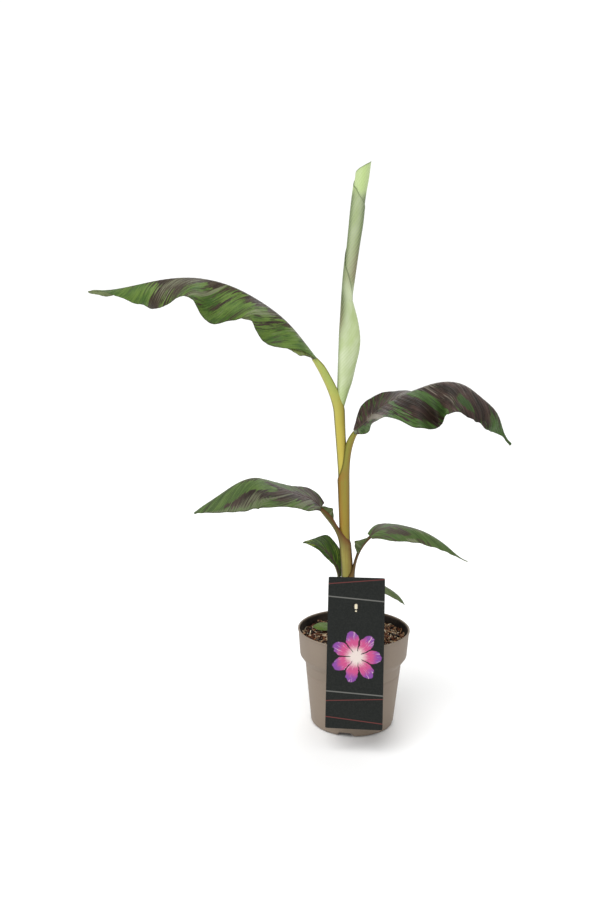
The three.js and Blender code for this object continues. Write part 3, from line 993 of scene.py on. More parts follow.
@dataclass
class Leaf:
    """One leaf blade, by the same rule as its solid, with finer margins, veins and a channelled midrib.

    The lists hold values at equal steps along the midrib: its pitch, each half's width, how far each
    half hangs below level, and how dark the blade is along its midrib and elsewhere. A patch is its
    middle, as a share of the length at which its vein leaves the midrib and a share of the half's
    width, its two half sizes in the same shares, and its amount.
    """

    name: str
    nodes: tuple[str, ...]
    base: Point
    heading: float
    sweep: float
    length: float
    pitch: tuple[float, ...]
    front: tuple[float, ...]
    back: tuple[float, ...]
    front_hang: tuple[float, ...]
    back_hang: tuple[float, ...]
    rib: tuple[float, float]
    finish: Finish
    flush_rib: tuple[float, ...] = (0.5, 0.5)
    flush_blade: tuple[float, ...] = (0.2, 0.2)
    patches: tuple[Patch, ...] = ()
    # patches of painted sheen and highlight, laid out like the dark patches
    painted_sheens: tuple[Patch, ...] = ()
    ripple: float = 0.7
    vein_gap: float = 5.5
    vein_lean: tuple[float, float] = (0.7, 1.3)
    tip_twist: float = 0.0
    thick: float = 0.5
    rows: int = 260
    cells: int = 26
    seed: int = 1

    def frames(self) -> tuple[Array, Array, Array, Array, Array]:
        """Midrib: each step goes on by the direction that pitch and heading give half way along it.

        Returns:
            Share of the length, points, directions, front side vectors and upward normals.
        """
        t = np.linspace(0, 1, self.rows)

        def direction(share: Array) -> Array:
            """Unit vector from the pitch and the heading at a share of the length."""
            pitch, way = np.radians(smooth(self.pitch, share)), np.radians(self.heading + self.sweep * share)
            return np.stack([np.cos(pitch) * np.cos(way), np.cos(pitch) * np.sin(way), np.sin(pitch)], -1)

        stride = self.length / (self.rows - 1)
        steps = direction((t[1:] + t[:-1]) / 2) * stride
        points = np.array(self.base) + np.vstack([np.zeros(3), np.cumsum(steps, 0)])
        way = np.radians(self.heading + self.sweep * t)
        front = np.stack([np.sin(way), -np.cos(way), 0 * way], -1)
        front *= 1.0 if np.cos(np.radians(self.heading)) > 0 else -1.0
        ahead = direction(t)
        up = np.cross(ahead, front)
        up *= np.sign(up[:, 2:].mean())
        twist = np.radians(self.tip_twist * ease((t - 0.9) / 0.06))[:, None]
        front, up = front * np.cos(twist) + up * np.sin(twist), up * np.cos(twist) - front * np.sin(twist)
        return t, points, ahead, front, up

    def half(self, side: Side, columns: Array) -> tuple[Array, Array]:
        """One half of the blade as a grid, from the midrib out.

        A section is an arc: its slope below level grows from half the hang at the midrib to one and a
        half times it at the margin, and equal steps along that slope are added up.

        Args:
            side: Which half.
            columns: Shares of the half's width, from 0.

        Returns:
            Grid of points, and each point's distance from the midrib.
        """
        t, points, _, front, up = self.frames()
        width = np.maximum(smooth(self.front if side is Side.FRONT else self.back, t), 0.8)
        hang = np.radians(smooth(self.front_hang if side is Side.FRONT else self.back_hang, t))
        middle = (columns[1:] + columns[:-1]) / 2
        slope = hang[:, None] * (0.5 + middle)
        step = np.diff(columns) * width[:, None]
        zero = np.zeros((self.rows, 1))
        out = np.hstack([zero, np.cumsum(np.cos(slope) * step, 1)])
        down = np.hstack([zero, np.cumsum(np.sin(slope) * step, 1)])
        grid = points[:, None] + side.value * front[:, None] * out[..., None] - up[:, None] * down[..., None]
        return grid, width[:, None] * columns

    def spread(self, patches: tuple[Patch, ...], v: Array, vein: Array) -> Array:
        """Sum of soft ovals that lie along the veins.

        Args:
            patches: The ovals.
            v: Share of the half's width, negative at the back.
            vein: Vein coordinate in millimetres.

        Returns:
            The amount at each grid point.
        """
        total = np.zeros(np.broadcast_shapes(v.shape, vein.shape))
        for at, off, long, wide, amount in patches:
            total = total + amount * bell(np.hypot((vein / self.length - at) / long, (v - off) / wide) ** 1.5)
        return total

    def flush(self, t: Array, v: Array, vein: Array) -> Array:
        """How dark the leaf is: a band along the midrib over the blade's own list, plus its patches."""
        band = smooth(self.flush_rib, t) * bell(v / 0.22)
        return smooth(self.flush_blade, t) + band + self.spread(self.patches, v, vein)

    def build(self) -> None:
        """Joins the halves, raises veins and ripples, sinks the channel and hangs the rib underneath.

        A vein leaves the midrib at a slant, so the vein coordinate is the distance along the midrib
        less a lean times the distance from it. Veins are a sine of that coordinate, and the ripple is
        noise and a short sine that grow towards the margin.
        """
        columns = np.linspace(0, 1, self.cells + 1) ** 1.35
        back, back_across = self.half(Side.BACK, columns)
        front, front_across = self.half(Side.FRONT, columns)
        grid = np.concatenate([back[:, :0:-1], front], 1)
        across = np.concatenate([-back_across[:, :0:-1], front_across], 1)
        v = np.concatenate([-columns[:0:-1], columns])[None]
        t, _, _, _, up = self.frames()
        t = t[:, None]
        away, out = np.abs(across), np.abs(v)
        lean = self.vein_lean[0] + (self.vein_lean[1] - self.vein_lean[0]) * t
        vein = t * self.length - lean * away
        thin, width = 1.6 - 0.9 * t, self.rib[0]
        rise = 0.16 * np.sin(2 * np.pi * vein / self.vein_gap) * ease(away / 4) * (1 - 0.5 * out)
        wave = ripple_noise(vein / 34, away * 0 + np.sign(across), self.seed, 5)
        rise = rise + self.ripple * wave * out ** 2.2
        rise = rise + 0.35 * self.ripple * np.sin(vein / 3.1 + self.seed) * out ** 5
        rise = rise - 0.55 * width / 4 * bell(across / thin)
        grid = grid + up[:, None] * rise[..., None]
        rib = (width + (self.rib[1] - width) * t ** 0.8) * bell(across / (0.6 * thin * width / 2.4)) ** 0.8
        edge = self.thick / 2 * (1 - 0.55 * out ** 4) * np.ones_like(rise)
        values = {
            "vein": np.stack(np.broadcast_arrays(vein / 100, across / 100, t), -1),
            "flush": self.flush(t, v, vein),
            # how much painted sheen shows
            "bloom": self.spread(self.painted_sheens, v, vein),
            "rib": bell(across / (0.45 + 0.9 * (1 - t))) * (1 - ease((t - 0.6) / 0.4)) * 0.9,
            "rim": bell(away * (1 / np.maximum(out, 0.02) - 1) / 0.35) * 0.6,
        }
        turned = self.upward(grid)
        above, below = (edge, edge + rib) if turned else (edge + rib, edge)
        surface = Surface.slab(grid, above, below, values)
        if not turned:
            surface.values["under"] = 1 - surface.values["under"]
        put(self.name, surface, self.finish, "leaf", self.nodes, 60)

    @staticmethod
    def upward(grid: Array) -> bool:
        """True if the grid's own normal, rows crossed with columns, points up on the whole."""
        normal = np.cross(np.gradient(grid, axis=0), np.gradient(grid, axis=1))
        return bool(normal[..., 2].mean() > 0)


@dataclass
class Lobe:
    """Small free lobe at the foot of a blade: a cupped patch between its foot line and a wavy margin."""

    name: str
    foot: tuple[Point, Point, Point]
    margin: tuple[Point, Point, Point]
    finish: Finish
    cup: float = 1.6
    thick: float = 0.4
    rows: int = 48
    cells: int = 16

    def build(self) -> None:
        """Foot and margin are smooth lines through their points; columns run from one to the other.

        Both lines close to a point at their ends by a power of a half sine, and the patch bellies
        towards the front between them.
        """
        u = np.linspace(0, 1, self.rows)
        foot = np.stack([smooth([p[k] for p in self.foot], u) for k in range(3)], -1)
        rim = np.stack([smooth([p[k] for p in self.margin], u) for k in range(3)], -1)
        open_by = np.sin(np.pi * np.clip(u, 0.004, 0.996)) ** 0.5
        wave = 1 + 0.08 * np.sin(17 * u)
        w = np.linspace(0, 1, self.cells)
        grid = foot[:, None] + (rim - foot)[:, None] * (open_by * wave)[:, None, None] * w[:, None]
        grid[..., 1] -= self.cup * np.sin(np.pi * w) * open_by[:, None]
        reach = np.linalg.norm(rim - foot, axis=-1)[:, None] * w
        zero = np.zeros((self.rows, self.cells))
        values = {
            "vein": np.stack([u[:, None] * 0.2 + 0 * reach, reach / 100, zero + 0.1], -1),
            # a little painted sheen over the whole lobe
            "flush": zero + 0.15, "bloom": zero + 0.2, "rib": zero,
            "rim": bell((1 - w) / 0.1)[None] * 0.8 + zero,
        }
        half = zero + self.thick / 2
        surface = Surface.slab(grid, half, half, values)
        surface.values["under"] = 0 * surface.values["under"]
        put(self.name, surface, self.finish, "leaf", (), 60)


@dataclass
class Stalk:
    """A leaf's base: the sheath that wraps the stem, which opens into the channelled stalk of its blade.

    Its section is an arc round the back line, which runs up the outside of the stem and then bends out
    to the blade. The arc's two arms get shorter where the sheath opens. The pairs of lists hold the
    arc's radius and its arms' angle at equal steps of the sheath, from the soil to the parting, and of
    the stalk, from there to the blade.
    """

    name: str
    nodes: tuple[str, ...]
    to: Point
    pitch_end: float
    leave: float
    sheath_radius: tuple[float, ...]
    stalk_radius: tuple[float, ...]
    sheath_wrap: tuple[float, ...]
    stalk_wrap: tuple[float, ...]
    finish: Finish
    pull: tuple[float, float] = (0.45, 0.35)
    back_more: float = 6.0
    margin: float = 0.9
    foot: float = 94.5
    thick: tuple[float, float] = (0.2, 0.84)
    rows: int = 170
    cells: int = 40

    def back_line(self) -> tuple[Array, Array, Array, Array]:
        """The outermost line, with the share of the sheath and the share of the stalk at each point.

        Up to the parting it follows the stem's outside; beyond it is a cubic curve that starts along
        the stem and ends in the blade's own direction, under its midrib.

        Returns:
            Points, the outward direction on the level, share of the sheath, share of the stalk.
        """
        stem = Pseudostem()
        end = np.array(self.to)
        level = end[:2] - stem.axis(np.array([self.leave]))[0, :2]
        level = np.r_[level / np.linalg.norm(level), 0.0]
        share = np.linspace(0, 1, self.rows // 2)
        low = self.foot + (self.leave - self.foot) * share
        rise = stem.axis(low) + level * smooth(self.sheath_radius, share)[:, None]
        start, lead = rise[-1], unit(rise[-1] - rise[-3])
        tail = np.radians(self.pitch_end)
        arrive = level * np.cos(tail) + np.array([0, 0, np.sin(tail)])
        under = level * np.sin(tail) - np.array([0, 0, np.cos(tail)])
        stop = end + under * self.stalk_radius[-1]
        reach = np.linalg.norm(stop - start)
        u = np.linspace(0, 1, self.rows - len(low) + 1)[1:, None]
        first, second = start + lead * self.pull[0] * reach, stop - arrive * self.pull[1] * reach
        w = 1 - u
        curve = w ** 3 * start + 3 * u * w ** 2 * first + 3 * u * u * w * second + u ** 3 * stop
        shares = np.r_[share, np.ones(len(u))], np.r_[np.zeros(len(low)), u[:, 0]]
        return np.vstack([rise, curve]), level, *shares

    def both(self, sheath: tuple[float, ...], stalk: tuple[float, ...], share: Array, past: Array) -> Array:
        """One list's values along the sheath and then the other's along the stalk."""
        return np.where(past > 0, smooth(stalk, past), smooth(sheath, share))

    def build(self) -> None:
        """Sweeps the arc along the back line as one closed band with a thick middle and thin edges.

        The outer face lies at the radius and the inner one a depth inside it, which is a small share
        of the radius on the sheath and most of it on the stalk.
        """
        line, level, share, past = self.back_line()
        ahead = unit(np.gradient(line, axis=0))
        side = unit(np.cross(ahead, level))
        out = unit(np.cross(side, ahead))
        front_sign = -1.0 if side[:, 1].mean() > 0 else 1.0
        radius = self.both(self.sheath_radius, self.stalk_radius, share, past)
        wrap = self.both(self.sheath_wrap, self.stalk_wrap, share, past)
        centre = line - out * radius[:, None]
        u = np.linspace(-1, 1, 2 * self.cells + 1)
        more = self.back_more * (1 - ease(past * 3))
        arms = np.radians(np.minimum(np.where(u > 0, wrap[:, None], wrap[:, None] + more[:, None]), 179.0))
        angle = u * arms
        solid = self.thick[0] + (self.thick[1] - self.thick[0]) * ease(past * 1.5)
        thinner = 1 - 1.35 * np.abs(angle) / np.pi * u * u
        depth = radius[:, None] * np.maximum(solid[:, None] * thinner, 0.1)
        across, along = (wave(angle)[..., None] for wave in (np.sin, np.cos))
        around = along * out[:, None] + front_sign * across * side[:, None]
        outer = centre[:, None] + around * radius[:, None, None]
        inner = centre[:, None] + around * (radius[:, None] - depth)[..., None]
        rings = np.concatenate([outer, inner[:, ::-1]], 1)
        to_edge = (1 - np.abs(u)) * arms * radius[:, None]
        edge, back = bell(to_edge / self.margin), bell(angle / 0.95)
        glow = bell(to_edge / 8.0) * (ease((share - 0.55) / 0.2) * (1 - ease(past * 2.5)))[:, None]
        # painted shade: sides that face left and right darken, half as much out on the stalk
        flank = 0.95 * ease((np.abs(around[..., 0]) - 0.66) / 0.34) * (1 - 0.5 * ease(past * 2))[:, None]
        faces = {"edge": (edge, edge), "glow": (glow, glow), "flank": (flank, flank),
                 "back": (back, 0 * back)}
        values = {key: np.concatenate([first, second[:, ::-1]], 1)[..., None]
                  for key, (first, second) in faces.items()}
        put(self.name, Surface.loft(rings, values), self.finish, "stem", self.nodes, 55)


@dataclass
class Pseudostem:
    """Core of the stem under the sheaths, on the same centre line as its solid."""

    foot: float = 94.5
    fork: float = 340.5
    x: tuple[float, ...] = (-6, -7, -8, -11, -12.5, -14, -17, -19.5)
    core: tuple[float, ...] = (9.6, 6.4, 5.2, 4.2, 3.6, 3.7, 3.9, 4.0)
    # the sixth colour is the painted side shade
    finish: Finish = SheathFinish("stem_core", shade(150, 120, 60), shade(190, 180, 70), shade(120, 70, 35),
                                  shade(140, 120, 50), shade(100, 80, 40), shade(80, 70, 40), (110, 300))

    def axis(self, height: Array) -> Array:
        """Points of the centre line at given heights: the list of offsets read at each height."""
        t = (height - 96.0) / (self.fork - 96.0)
        return np.stack([smooth(self.x, t), 0 * t, height], -1)

    def build(self) -> None:
        """Tapering core: circles round the centre line, a little ridged as the sheaths press it."""
        height = np.linspace(self.foot, self.fork - 2, 60)
        turn = np.linspace(0, 2 * np.pi, 48, endpoint=False)
        radius = smooth(self.core, (height - self.foot) / (self.fork - self.foot))[:, None]
        radius = radius * (1 + 0.03 * np.cos(3 * turn + height[:, None] / 40))
        centre = self.axis(height)[:, None]
        rings = centre + np.stack([radius * np.cos(turn), radius * np.sin(turn), 0 * radius * turn], -1)
        values = dict.fromkeys(("edge", "glow", "flank", "back"), np.zeros(rings.shape[:2])[..., None])
        put("stem_core", Surface.loft(rings, values), self.finish, "stem", ("pseudostem",), 60)


@dataclass
class RolledLeaf:
    """The new leaf, still rolled: one sheet wound round itself, whose free margin winds down the roll.

    The winding angle counts on from the inner end. A column of the sheet at one angle reaches up to the
    margin's height there, so higher up the outermost turn belongs to a smaller angle. The last half turn
    stands off the roll as a loose flap.
    """

    foot: float = 339.5
    top: float = 588.0
    left: tuple[float, ...] = (
        -21.2, -21.9, -21.9, -21.7, -21.4, -21.1, -20.4, -19.7, -18.8, -17.6, -16.0, -14.6, -13.2, -11.8,
        -9.9, -7.8, -6.4)
    radius: tuple[float, ...] = (
        3.0, 5.2, 6.0, 6.2, 6.15, 6.1, 6.0, 6.0, 6.4, 6.7, 6.8, 7.05, 7.4, 7.35, 7.25, 7.3, 7.3)
    winding: tuple[float, ...] = (
        -180, -117, -62, 0, 90, 180, 237, 276, 321, 360, 450, 540, 573, 616, 648, 700, 720)
    reach: tuple[float, ...] = (
        575, 580, 584, 587, 578, 564.5, 560, 553, 546.5, 541, 517, 495.5, 486.5, 477.5, 468, 452, 449)
    flap_top: float = 449.0
    flare: tuple[float, ...] = (0.0, 0.12, 0.66, 1.12, 1.48, 1.44, 1.0, 0.08)
    turn_gap: float = 0.8
    thick: float = 0.42
    rows: int = 168
    columns: int = 290
    finish: Finish = ScrollFinish(
        # the grey here is the painted shade's colour, also used on the free margins
        "rolled_leaf_skin", pale=shade(222, 234, 194), green=shade(188, 208, 140), shade_and_margin_grey=shade(98, 114, 74),
        pink=shade(152, 130, 108), tip=shade(202, 226, 152))

    def build(self) -> None:
        """Works the sheet out column by column and closes it as a thin slab.

        A point's distance from the roll's axis is the roll's radius there, plus the gap per turn for
        each turn that lies outside or inside it, plus the flap's flare near the free end.
        """
        theta = np.linspace(self.winding[0], self.winding[-1], self.columns)
        reach = np.interp(theta, self.winding, self.reach)
        share = np.linspace(0, 1, self.rows)[:, None]
        z = self.foot + (reach - self.foot) * share
        level = (z - self.foot) / (self.top - self.foot)
        outermost = np.interp(-z, [-r for r in self.reach[3:]], self.winding[3:])
        radius = smooth(self.radius, level)
        lift = (z - self.foot) / (self.flap_top - self.foot)
        near = ease((theta - 545) / 175)
        swell = smooth(self.flare, lift) * (lift < 1.0) * near
        spread = radius * (1 + swell) + self.turn_gap * (theta - outermost) / 360
        spread = np.maximum(spread, 0.7 + 0.2 * (theta + 180) / 900)
        centre = smooth(self.left, level) + radius
        angle = np.radians(theta)
        flat = 1 - 0.42 * np.clip(swell, 0, 1)
        x = centre + spread * np.cos(angle)
        y = 0.92 * spread * np.sin(angle) * flat
        grid = np.stack(np.broadcast_arrays(x, y, z), -1)
        steps = (np.diff(line, axis=1, prepend=line[:, :1]) for line in (x, y))
        arc = np.cumsum(np.hypot(*steps), 1)
        depth = arc[:, -1:] - arc
        vein = z * 0.5 + 0.8 * depth
        lines = 0.05 * np.sin(2 * np.pi * vein / 2.2)
        normal = np.stack([np.cos(angle) * np.ones_like(z), np.sin(angle) * np.ones_like(z), 0 * z], -1)
        sway = 0.5 * np.clip(swell, 0, 1) * np.sin(z / 9.0) * near
        grid = grid + normal * (lines + sway)[..., None]
        below_edge = (outermost - theta) * np.radians(1) * radius
        side = np.cos(angle)
        left, upper = bell((side + 1.0) / 0.4), ease((z - 456) / 20)
        blush_high = 0.85 * bell((z - 478) / 24) * (0.55 + 0.45 * side)
        blush_low = 0.55 * bell((z - 432) / 16) * bell((side + 0.75) / 0.5)
        # painted shade: the roll darkens below its tip, most on its left and right sides and low down on its
        # left
        shadow_high = (1 - ease((z - 552) / 14)) * (
            0.4 + 0.55 * bell((side - 1.0) / 0.45) + 0.5 * bell((side + 1.0) / 0.35))
        shadow_low = 0.6 * left + 0.8 * bell((z - 442) / 22) * bell((side + 0.6) / 0.7)
        tip = ease((z - 549) / 12) * np.where(theta < 200, 1.0, 0.2) * (0.6 + 0.4 * bell((side - 0.2) / 0.5))
        winding_edge = np.abs(below_edge) + 9 * (z < self.flap_top)
        free_edge = np.minimum(winding_edge, np.minimum(np.abs(reach - z), depth))
        values = {
            "vein": np.stack(np.broadcast_arrays(vein / 100, depth / 100, level), -1),
            "blush": upper * blush_high + (1 - upper) * blush_low,
            "shadow": upper * shadow_high + (1 - upper) * shadow_low,
            "tip": tip + 0.35 * bell((z - 352) / 12),
            "edge": 0.85 * bell(free_edge / 0.8),
        }
        values = {k: (v if v.ndim == 3 else np.broadcast_to(v, z.shape).copy()) for k, v in values.items()}
        half = np.full(z.shape, self.thick / 2)
        sheet = Surface.slab(grid, half, half, values)
        put("rolled_leaf_sheet", sheet, self.finish, "rolled_leaf", ("rolled_leaf",), 60)


# ---------------------------------------------------------------- label card and its peg


@dataclass
class LabelCard:
    """Card without lettering, with rounded corners and a punched hole, and the peg that holds it."""

    width: float = 57.8
    height: float = 151.6
    thick: float = 0.6
    at: Point = (-1.3, -61.75, 99.8)
    yaw: float = -8.0
    lean: float = 16.0
    roll: float = -1.3
    hole: float = 3.9
    hole_drop: float = 29.5
    corner: float = 0.3
    leg_tilt: float = 5.0
    leg_sunk: float = 2.0
    finish: Finish = CardFinish(
        "label_card_print", base=shade(28, 31, 29), line=shade(112, 112, 108), red_line=shade(112, 58, 56),
        petals=(shade(236, 222, 214), shade(206, 88, 140), shade(140, 78, 162), shade(232, 190, 208)))
    pin_finish: Finish = PlasticFinish("pin_plastic", shade(246, 236, 208), shade(226, 212, 180))
    peg_finish: Finish = PlasticFinish("peg_plastic", shade(16, 12, 9), shade(10, 8, 7))

    def turn(self) -> Array:
        """Rotation from the card's own axes: roll about its depth, lean about its width, then yaw about Z.

        Returns:
            The 3 by 3 matrix.
        """
        turns = (np.array(Matrix.Rotation(np.radians(angle), 3, axis))
                 for angle, axis in ((self.yaw, "Z"), (-self.lean, "X"), (self.roll, "Y")))
        return np.linalg.multi_dot(list(turns))

    def sheet(self) -> Surface:
        """Rows run from the hole's edge out to the card's edge along straight lines from the hole's centre.

        The card's edge in each direction is where that line meets a rectangle whose corners are rounded
        by a superellipse of high power.

        Returns:
            The closed card in its own axes.
        """
        drop = self.height / 2 - self.hole_drop
        side = np.linspace(-1, 1, 61)
        w, h = self.width / 2, self.height / 2
        loop = np.concatenate([np.stack([x + 0 * side, z + 0 * side], -1)[:-1]
                               for x, z in ((w * side, -h), (w, h * side), (-w * side, h), (-w, -h * side))])
        short = np.maximum(np.abs(loop[:, 0]) / w + np.abs(loop[:, 1]) / h - 1, 0) ** 24
        loop = loop * (1 - self.corner * 0.02 * short)[:, None]
        from_hole = loop - np.array([0, drop])
        ring = unit(from_hole) * self.hole
        u = (np.linspace(0, 1, 42) ** 1.2)[:, None, None]
        flat = np.array([0, drop]) + ring * (1 - u) + from_hole * u
        front = np.stack([flat[..., 0], np.full(flat.shape[:2], -self.thick / 2), flat[..., 1]], -1)
        behind = front + np.array([0, self.thick, 0])
        rings = np.concatenate([front, behind[::-1]])
        n, m = rings.shape[:2]
        wrap = grid_quads(n, m, closed=True)
        j, k, start = np.arange(m), (np.arange(m) + 1) % m, (n - 1) * m
        last = np.stack([j + start, k + start, k, j], -1)
        points = rings.reshape(-1, 3)
        return Surface(points, outward(points, [np.concatenate([wrap, last])]), {"print": points / 100})

    def peg(self) -> tuple[Surface, Surface, Surface]:
        """The pin, its pad and the leg that stands in the mix: rounded bars along straight lines.

        Returns:
            The pin with its dot and the pad in the card's axes, and the leg in the plant's axes.
        """
        drop = self.height / 2 - self.hole_drop
        turn = np.linspace(0, 2 * np.pi, 32, endpoint=False)
        sx, sz = (np.sign(wave) * np.abs(wave) ** 0.6 for wave in (np.cos(turn), np.sin(turn)))

        def bar(stations: tuple[Point, ...], below: float = 0.0) -> Surface:
            """Rounded sections of half width and half height at each depth, a distance below the hole."""
            y, a, b = (column[:, None] for column in np.array(stations).T)
            return Surface.loft(np.stack(np.broadcast_arrays(a * sx, y, drop - below + b * sz), -1))

        pin = bar(((-2.4, 0.7, 1.5), (-2.2, 1.3, 2.3), (-1.5, 1.6, 2.7), (-0.4, 1.5, 2.6), (0.75, 1.4, 2.4)))
        dot = bar(((-1.0, 0.4, 0.3), (-0.9, 0.9, 0.7), (-0.6, 1.0, 0.8), (-0.31, 0.9, 0.7)), 4.6)
        pad = bar(((0.6, 3.8, 7.2), (0.8, 4.1, 7.6), (1.6, 4.1, 7.6), (1.8, 3.7, 7.2)))
        head = self.turn() @ np.array([0, 1.3, drop]) + np.array(self.at)
        tilt = np.tan(np.radians(self.leg_tilt))
        down = np.linspace(0, head[2] - SOIL_TOP + self.leg_sunk, 24)[:, None]
        half = 3.4 - 0.9 * ease(down / down[-1] - 0.4)
        rings = np.broadcast_arrays(head[0] + half * sx, head[1] - down * tilt + 0.6 * sz, head[2] - down)
        return pin.joined(dot), pad, Surface.loft(np.stack(rings, -1))

    def build(self) -> None:
        """Puts the card, the peg's pad and leg, and its pin in place."""
        pin, pad, leg = self.peg()
        sheet, pin, pad = (piece.moved(self.turn(), np.array(self.at)) for piece in (self.sheet(), pin, pad))
        put("label_card_sheet", sheet, self.finish, "card", ("label_card",), 40)
        put("card_peg_body", pad.joined(leg), self.peg_finish, "peg", ("card_peg",), 45)
        put("card_peg_pin", pin, self.pin_finish, "peg", (), 45)


# ---------------------------------------------------------------- the plant's own values

# the sixth colour of each sheath is its painted side shade
SHEATHS = {
    "top": SheathFinish(
        name="sheath_top", low=shade(216, 198, 86), high=shade(176, 192, 104), glow=shade(190, 172, 78),
        back=shade(212, 204, 106), line=shade(140, 134, 56), flank=shade(98, 94, 38), heights=(300, 378)),
    "upper_right": SheathFinish(
        name="sheath_upper_right", low=shade(160, 152, 54), high=shade(150, 152, 66),
        glow=shade(166, 108, 48), back=shade(160, 130, 52), line=shade(96, 88, 20), flank=shade(88, 76, 30),
        heights=(210, 290)),
    "middle": SheathFinish(
        name="sheath_middle", low=shade(190, 184, 96), high=shade(84, 84, 38), glow=shade(132, 84, 42),
        back=shade(124, 116, 54), line=shade(104, 62, 30), flank=shade(72, 66, 32), heights=(178, 212)),
    "low": SheathFinish(
        name="sheath_low", low=shade(184, 164, 84), high=shade(82, 68, 38), glow=shade(122, 88, 46),
        back=shade(124, 84, 44), line=shade(78, 56, 18), flank=shade(74, 60, 30), heights=(150, 190)),
    "lowest": SheathFinish(
        name="sheath_lowest", low=shade(140, 122, 62), high=shade(100, 74, 44), glow=shade(110, 88, 48),
        back=shade(92, 64, 36), line=shade(80, 56, 28), flank=shade(60, 46, 26), heights=(100, 160)),
}

STALKS = (
    Stalk(
        name="stalk_upper_left", nodes=("leaf_upper_left_petiole",), to=(-44.8, 0.0, 391.6), pitch_end=57,
        leave=336.0, sheath_radius=(7.6, 5.8, 4.9, 4.5, 5.0, 5.5, 5.4, 5.3, 5.9),
        stalk_radius=(5.9, 5.8, 5.4, 5.1, 4.8, 3.6), sheath_wrap=(176, 176, 176, 176, 176, 174, 172),
        stalk_wrap=(172, 158, 146, 138, 130, 116), finish=SHEATHS["top"], pull=(0.26, 0.28), back_more=4.0),
    Stalk(
        name="stalk_upper_right", nodes=("leaf_upper_right_petiole",), to=(-2.4, -4.0, 317.2), pitch_end=60,
        leave=264.0, sheath_radius=(8.2, 6.8, 5.8, 5.4, 5.5, 5.9, 6.4),
        stalk_radius=(6.4, 6.3, 5.8, 5.2, 4.4, 3.2), sheath_wrap=(172, 172, 170, 170, 170, 170, 168),
        stalk_wrap=(168, 112, 92, 98, 118, 120), finish=SHEATHS["upper_right"], pull=(0.26, 0.34),
        back_more=12.0, margin=1.4),
    Stalk(
        name="stalk_middle_left", nodes=("leaf_middle_left_petiole",), to=(-36.7, -2.2, 235.0),
        pitch_end=55, leave=195.0, sheath_radius=(8.8, 7.4, 6.6, 6.3, 6.4),
        stalk_radius=(6.4, 5.7, 4.8, 4.1, 3.5, 2.4), sheath_wrap=(168, 170, 172, 172, 170),
        stalk_wrap=(170, 106, 94, 114, 130, 126), finish=SHEATHS["middle"], pull=(0.376, 0.3),
        back_more=10.0, margin=2.4),
    Stalk(
        name="stalk_lower_right", nodes=("leaf_lower_right_petiole",), to=(15.0, -3.0, 205.4), pitch_end=43,
        leave=158.0, sheath_radius=(9.8, 8.6, 8.0, 7.8), stalk_radius=(7.8, 5.2, 3.5, 2.7, 2.4, 2.2),
        sheath_wrap=(150, 140, 126, 108), stalk_wrap=(108, 70, 80, 106, 118, 110), finish=SHEATHS["low"],
        pull=(0.42, 0.3), back_more=20.0, margin=1.4),
    Stalk(
        name="stalk_lower_left", nodes=("leaf_lower_left_petiole",), to=(-15.8, 7.0, 158.0), pitch_end=76,
        leave=128.0, sheath_radius=(10.2, 8.8, 7.9), stalk_radius=(7.9, 3.6, 2.4, 2.0, 1.9, 1.8),
        sheath_wrap=(120, 110, 90), stalk_wrap=(90, 84, 100, 112, 112, 104), finish=SHEATHS["lowest"],
        pull=(0.3, 0.3), back_more=10.0),
    Stalk(
        name="stalk_behind_card", nodes=("leaf_behind_card_petiole",), to=(13.0, -8.0, 146.0), pitch_end=55,
        leave=116.0, sheath_radius=(10.4, 9.4), stalk_radius=(9.4, 3.8, 2.3, 1.9, 1.8, 1.7),
        sheath_wrap=(110, 90), stalk_wrap=(90, 84, 100, 112, 112, 104), finish=SHEATHS["lowest"],
        pull=(0.3, 0.3), back_more=10.0),
    Stalk(
        name="stalk_at_soil", nodes=("leaf_at_soil_petiole",), to=(-20.0, 3.5, 101.0), pitch_end=22,
        leave=97.0, sheath_radius=(10.7, 10.6), stalk_radius=(10.6, 3.0, 1.9, 1.6, 1.5),
        sheath_wrap=(80, 80), stalk_wrap=(80, 84, 100, 112, 104), finish=SHEATHS["lowest"], pull=(0.3, 0.3),
        back_more=10.0, rows=70),
)

GREEN = {
    "light": shade(110, 138, 62), "deep": shade(68, 100, 42), "flush": shade(80, 68, 54),
    "flush_deep": shade(52, 38, 34), "under": shade(132, 146, 98), "rib": shade(80, 64, 52),
    # the last colour is the pale grey of the painted sheen
    "under_rib": shade(160, 150, 96), "bloom": shade(138, 140, 112),
}


def leaf_skin(name: str, **changes: Colour | float) -> LeafFinish:
    """The plant's green, with some of its colours changed."""
    return LeafFinish(name, **{**GREEN, **changes})


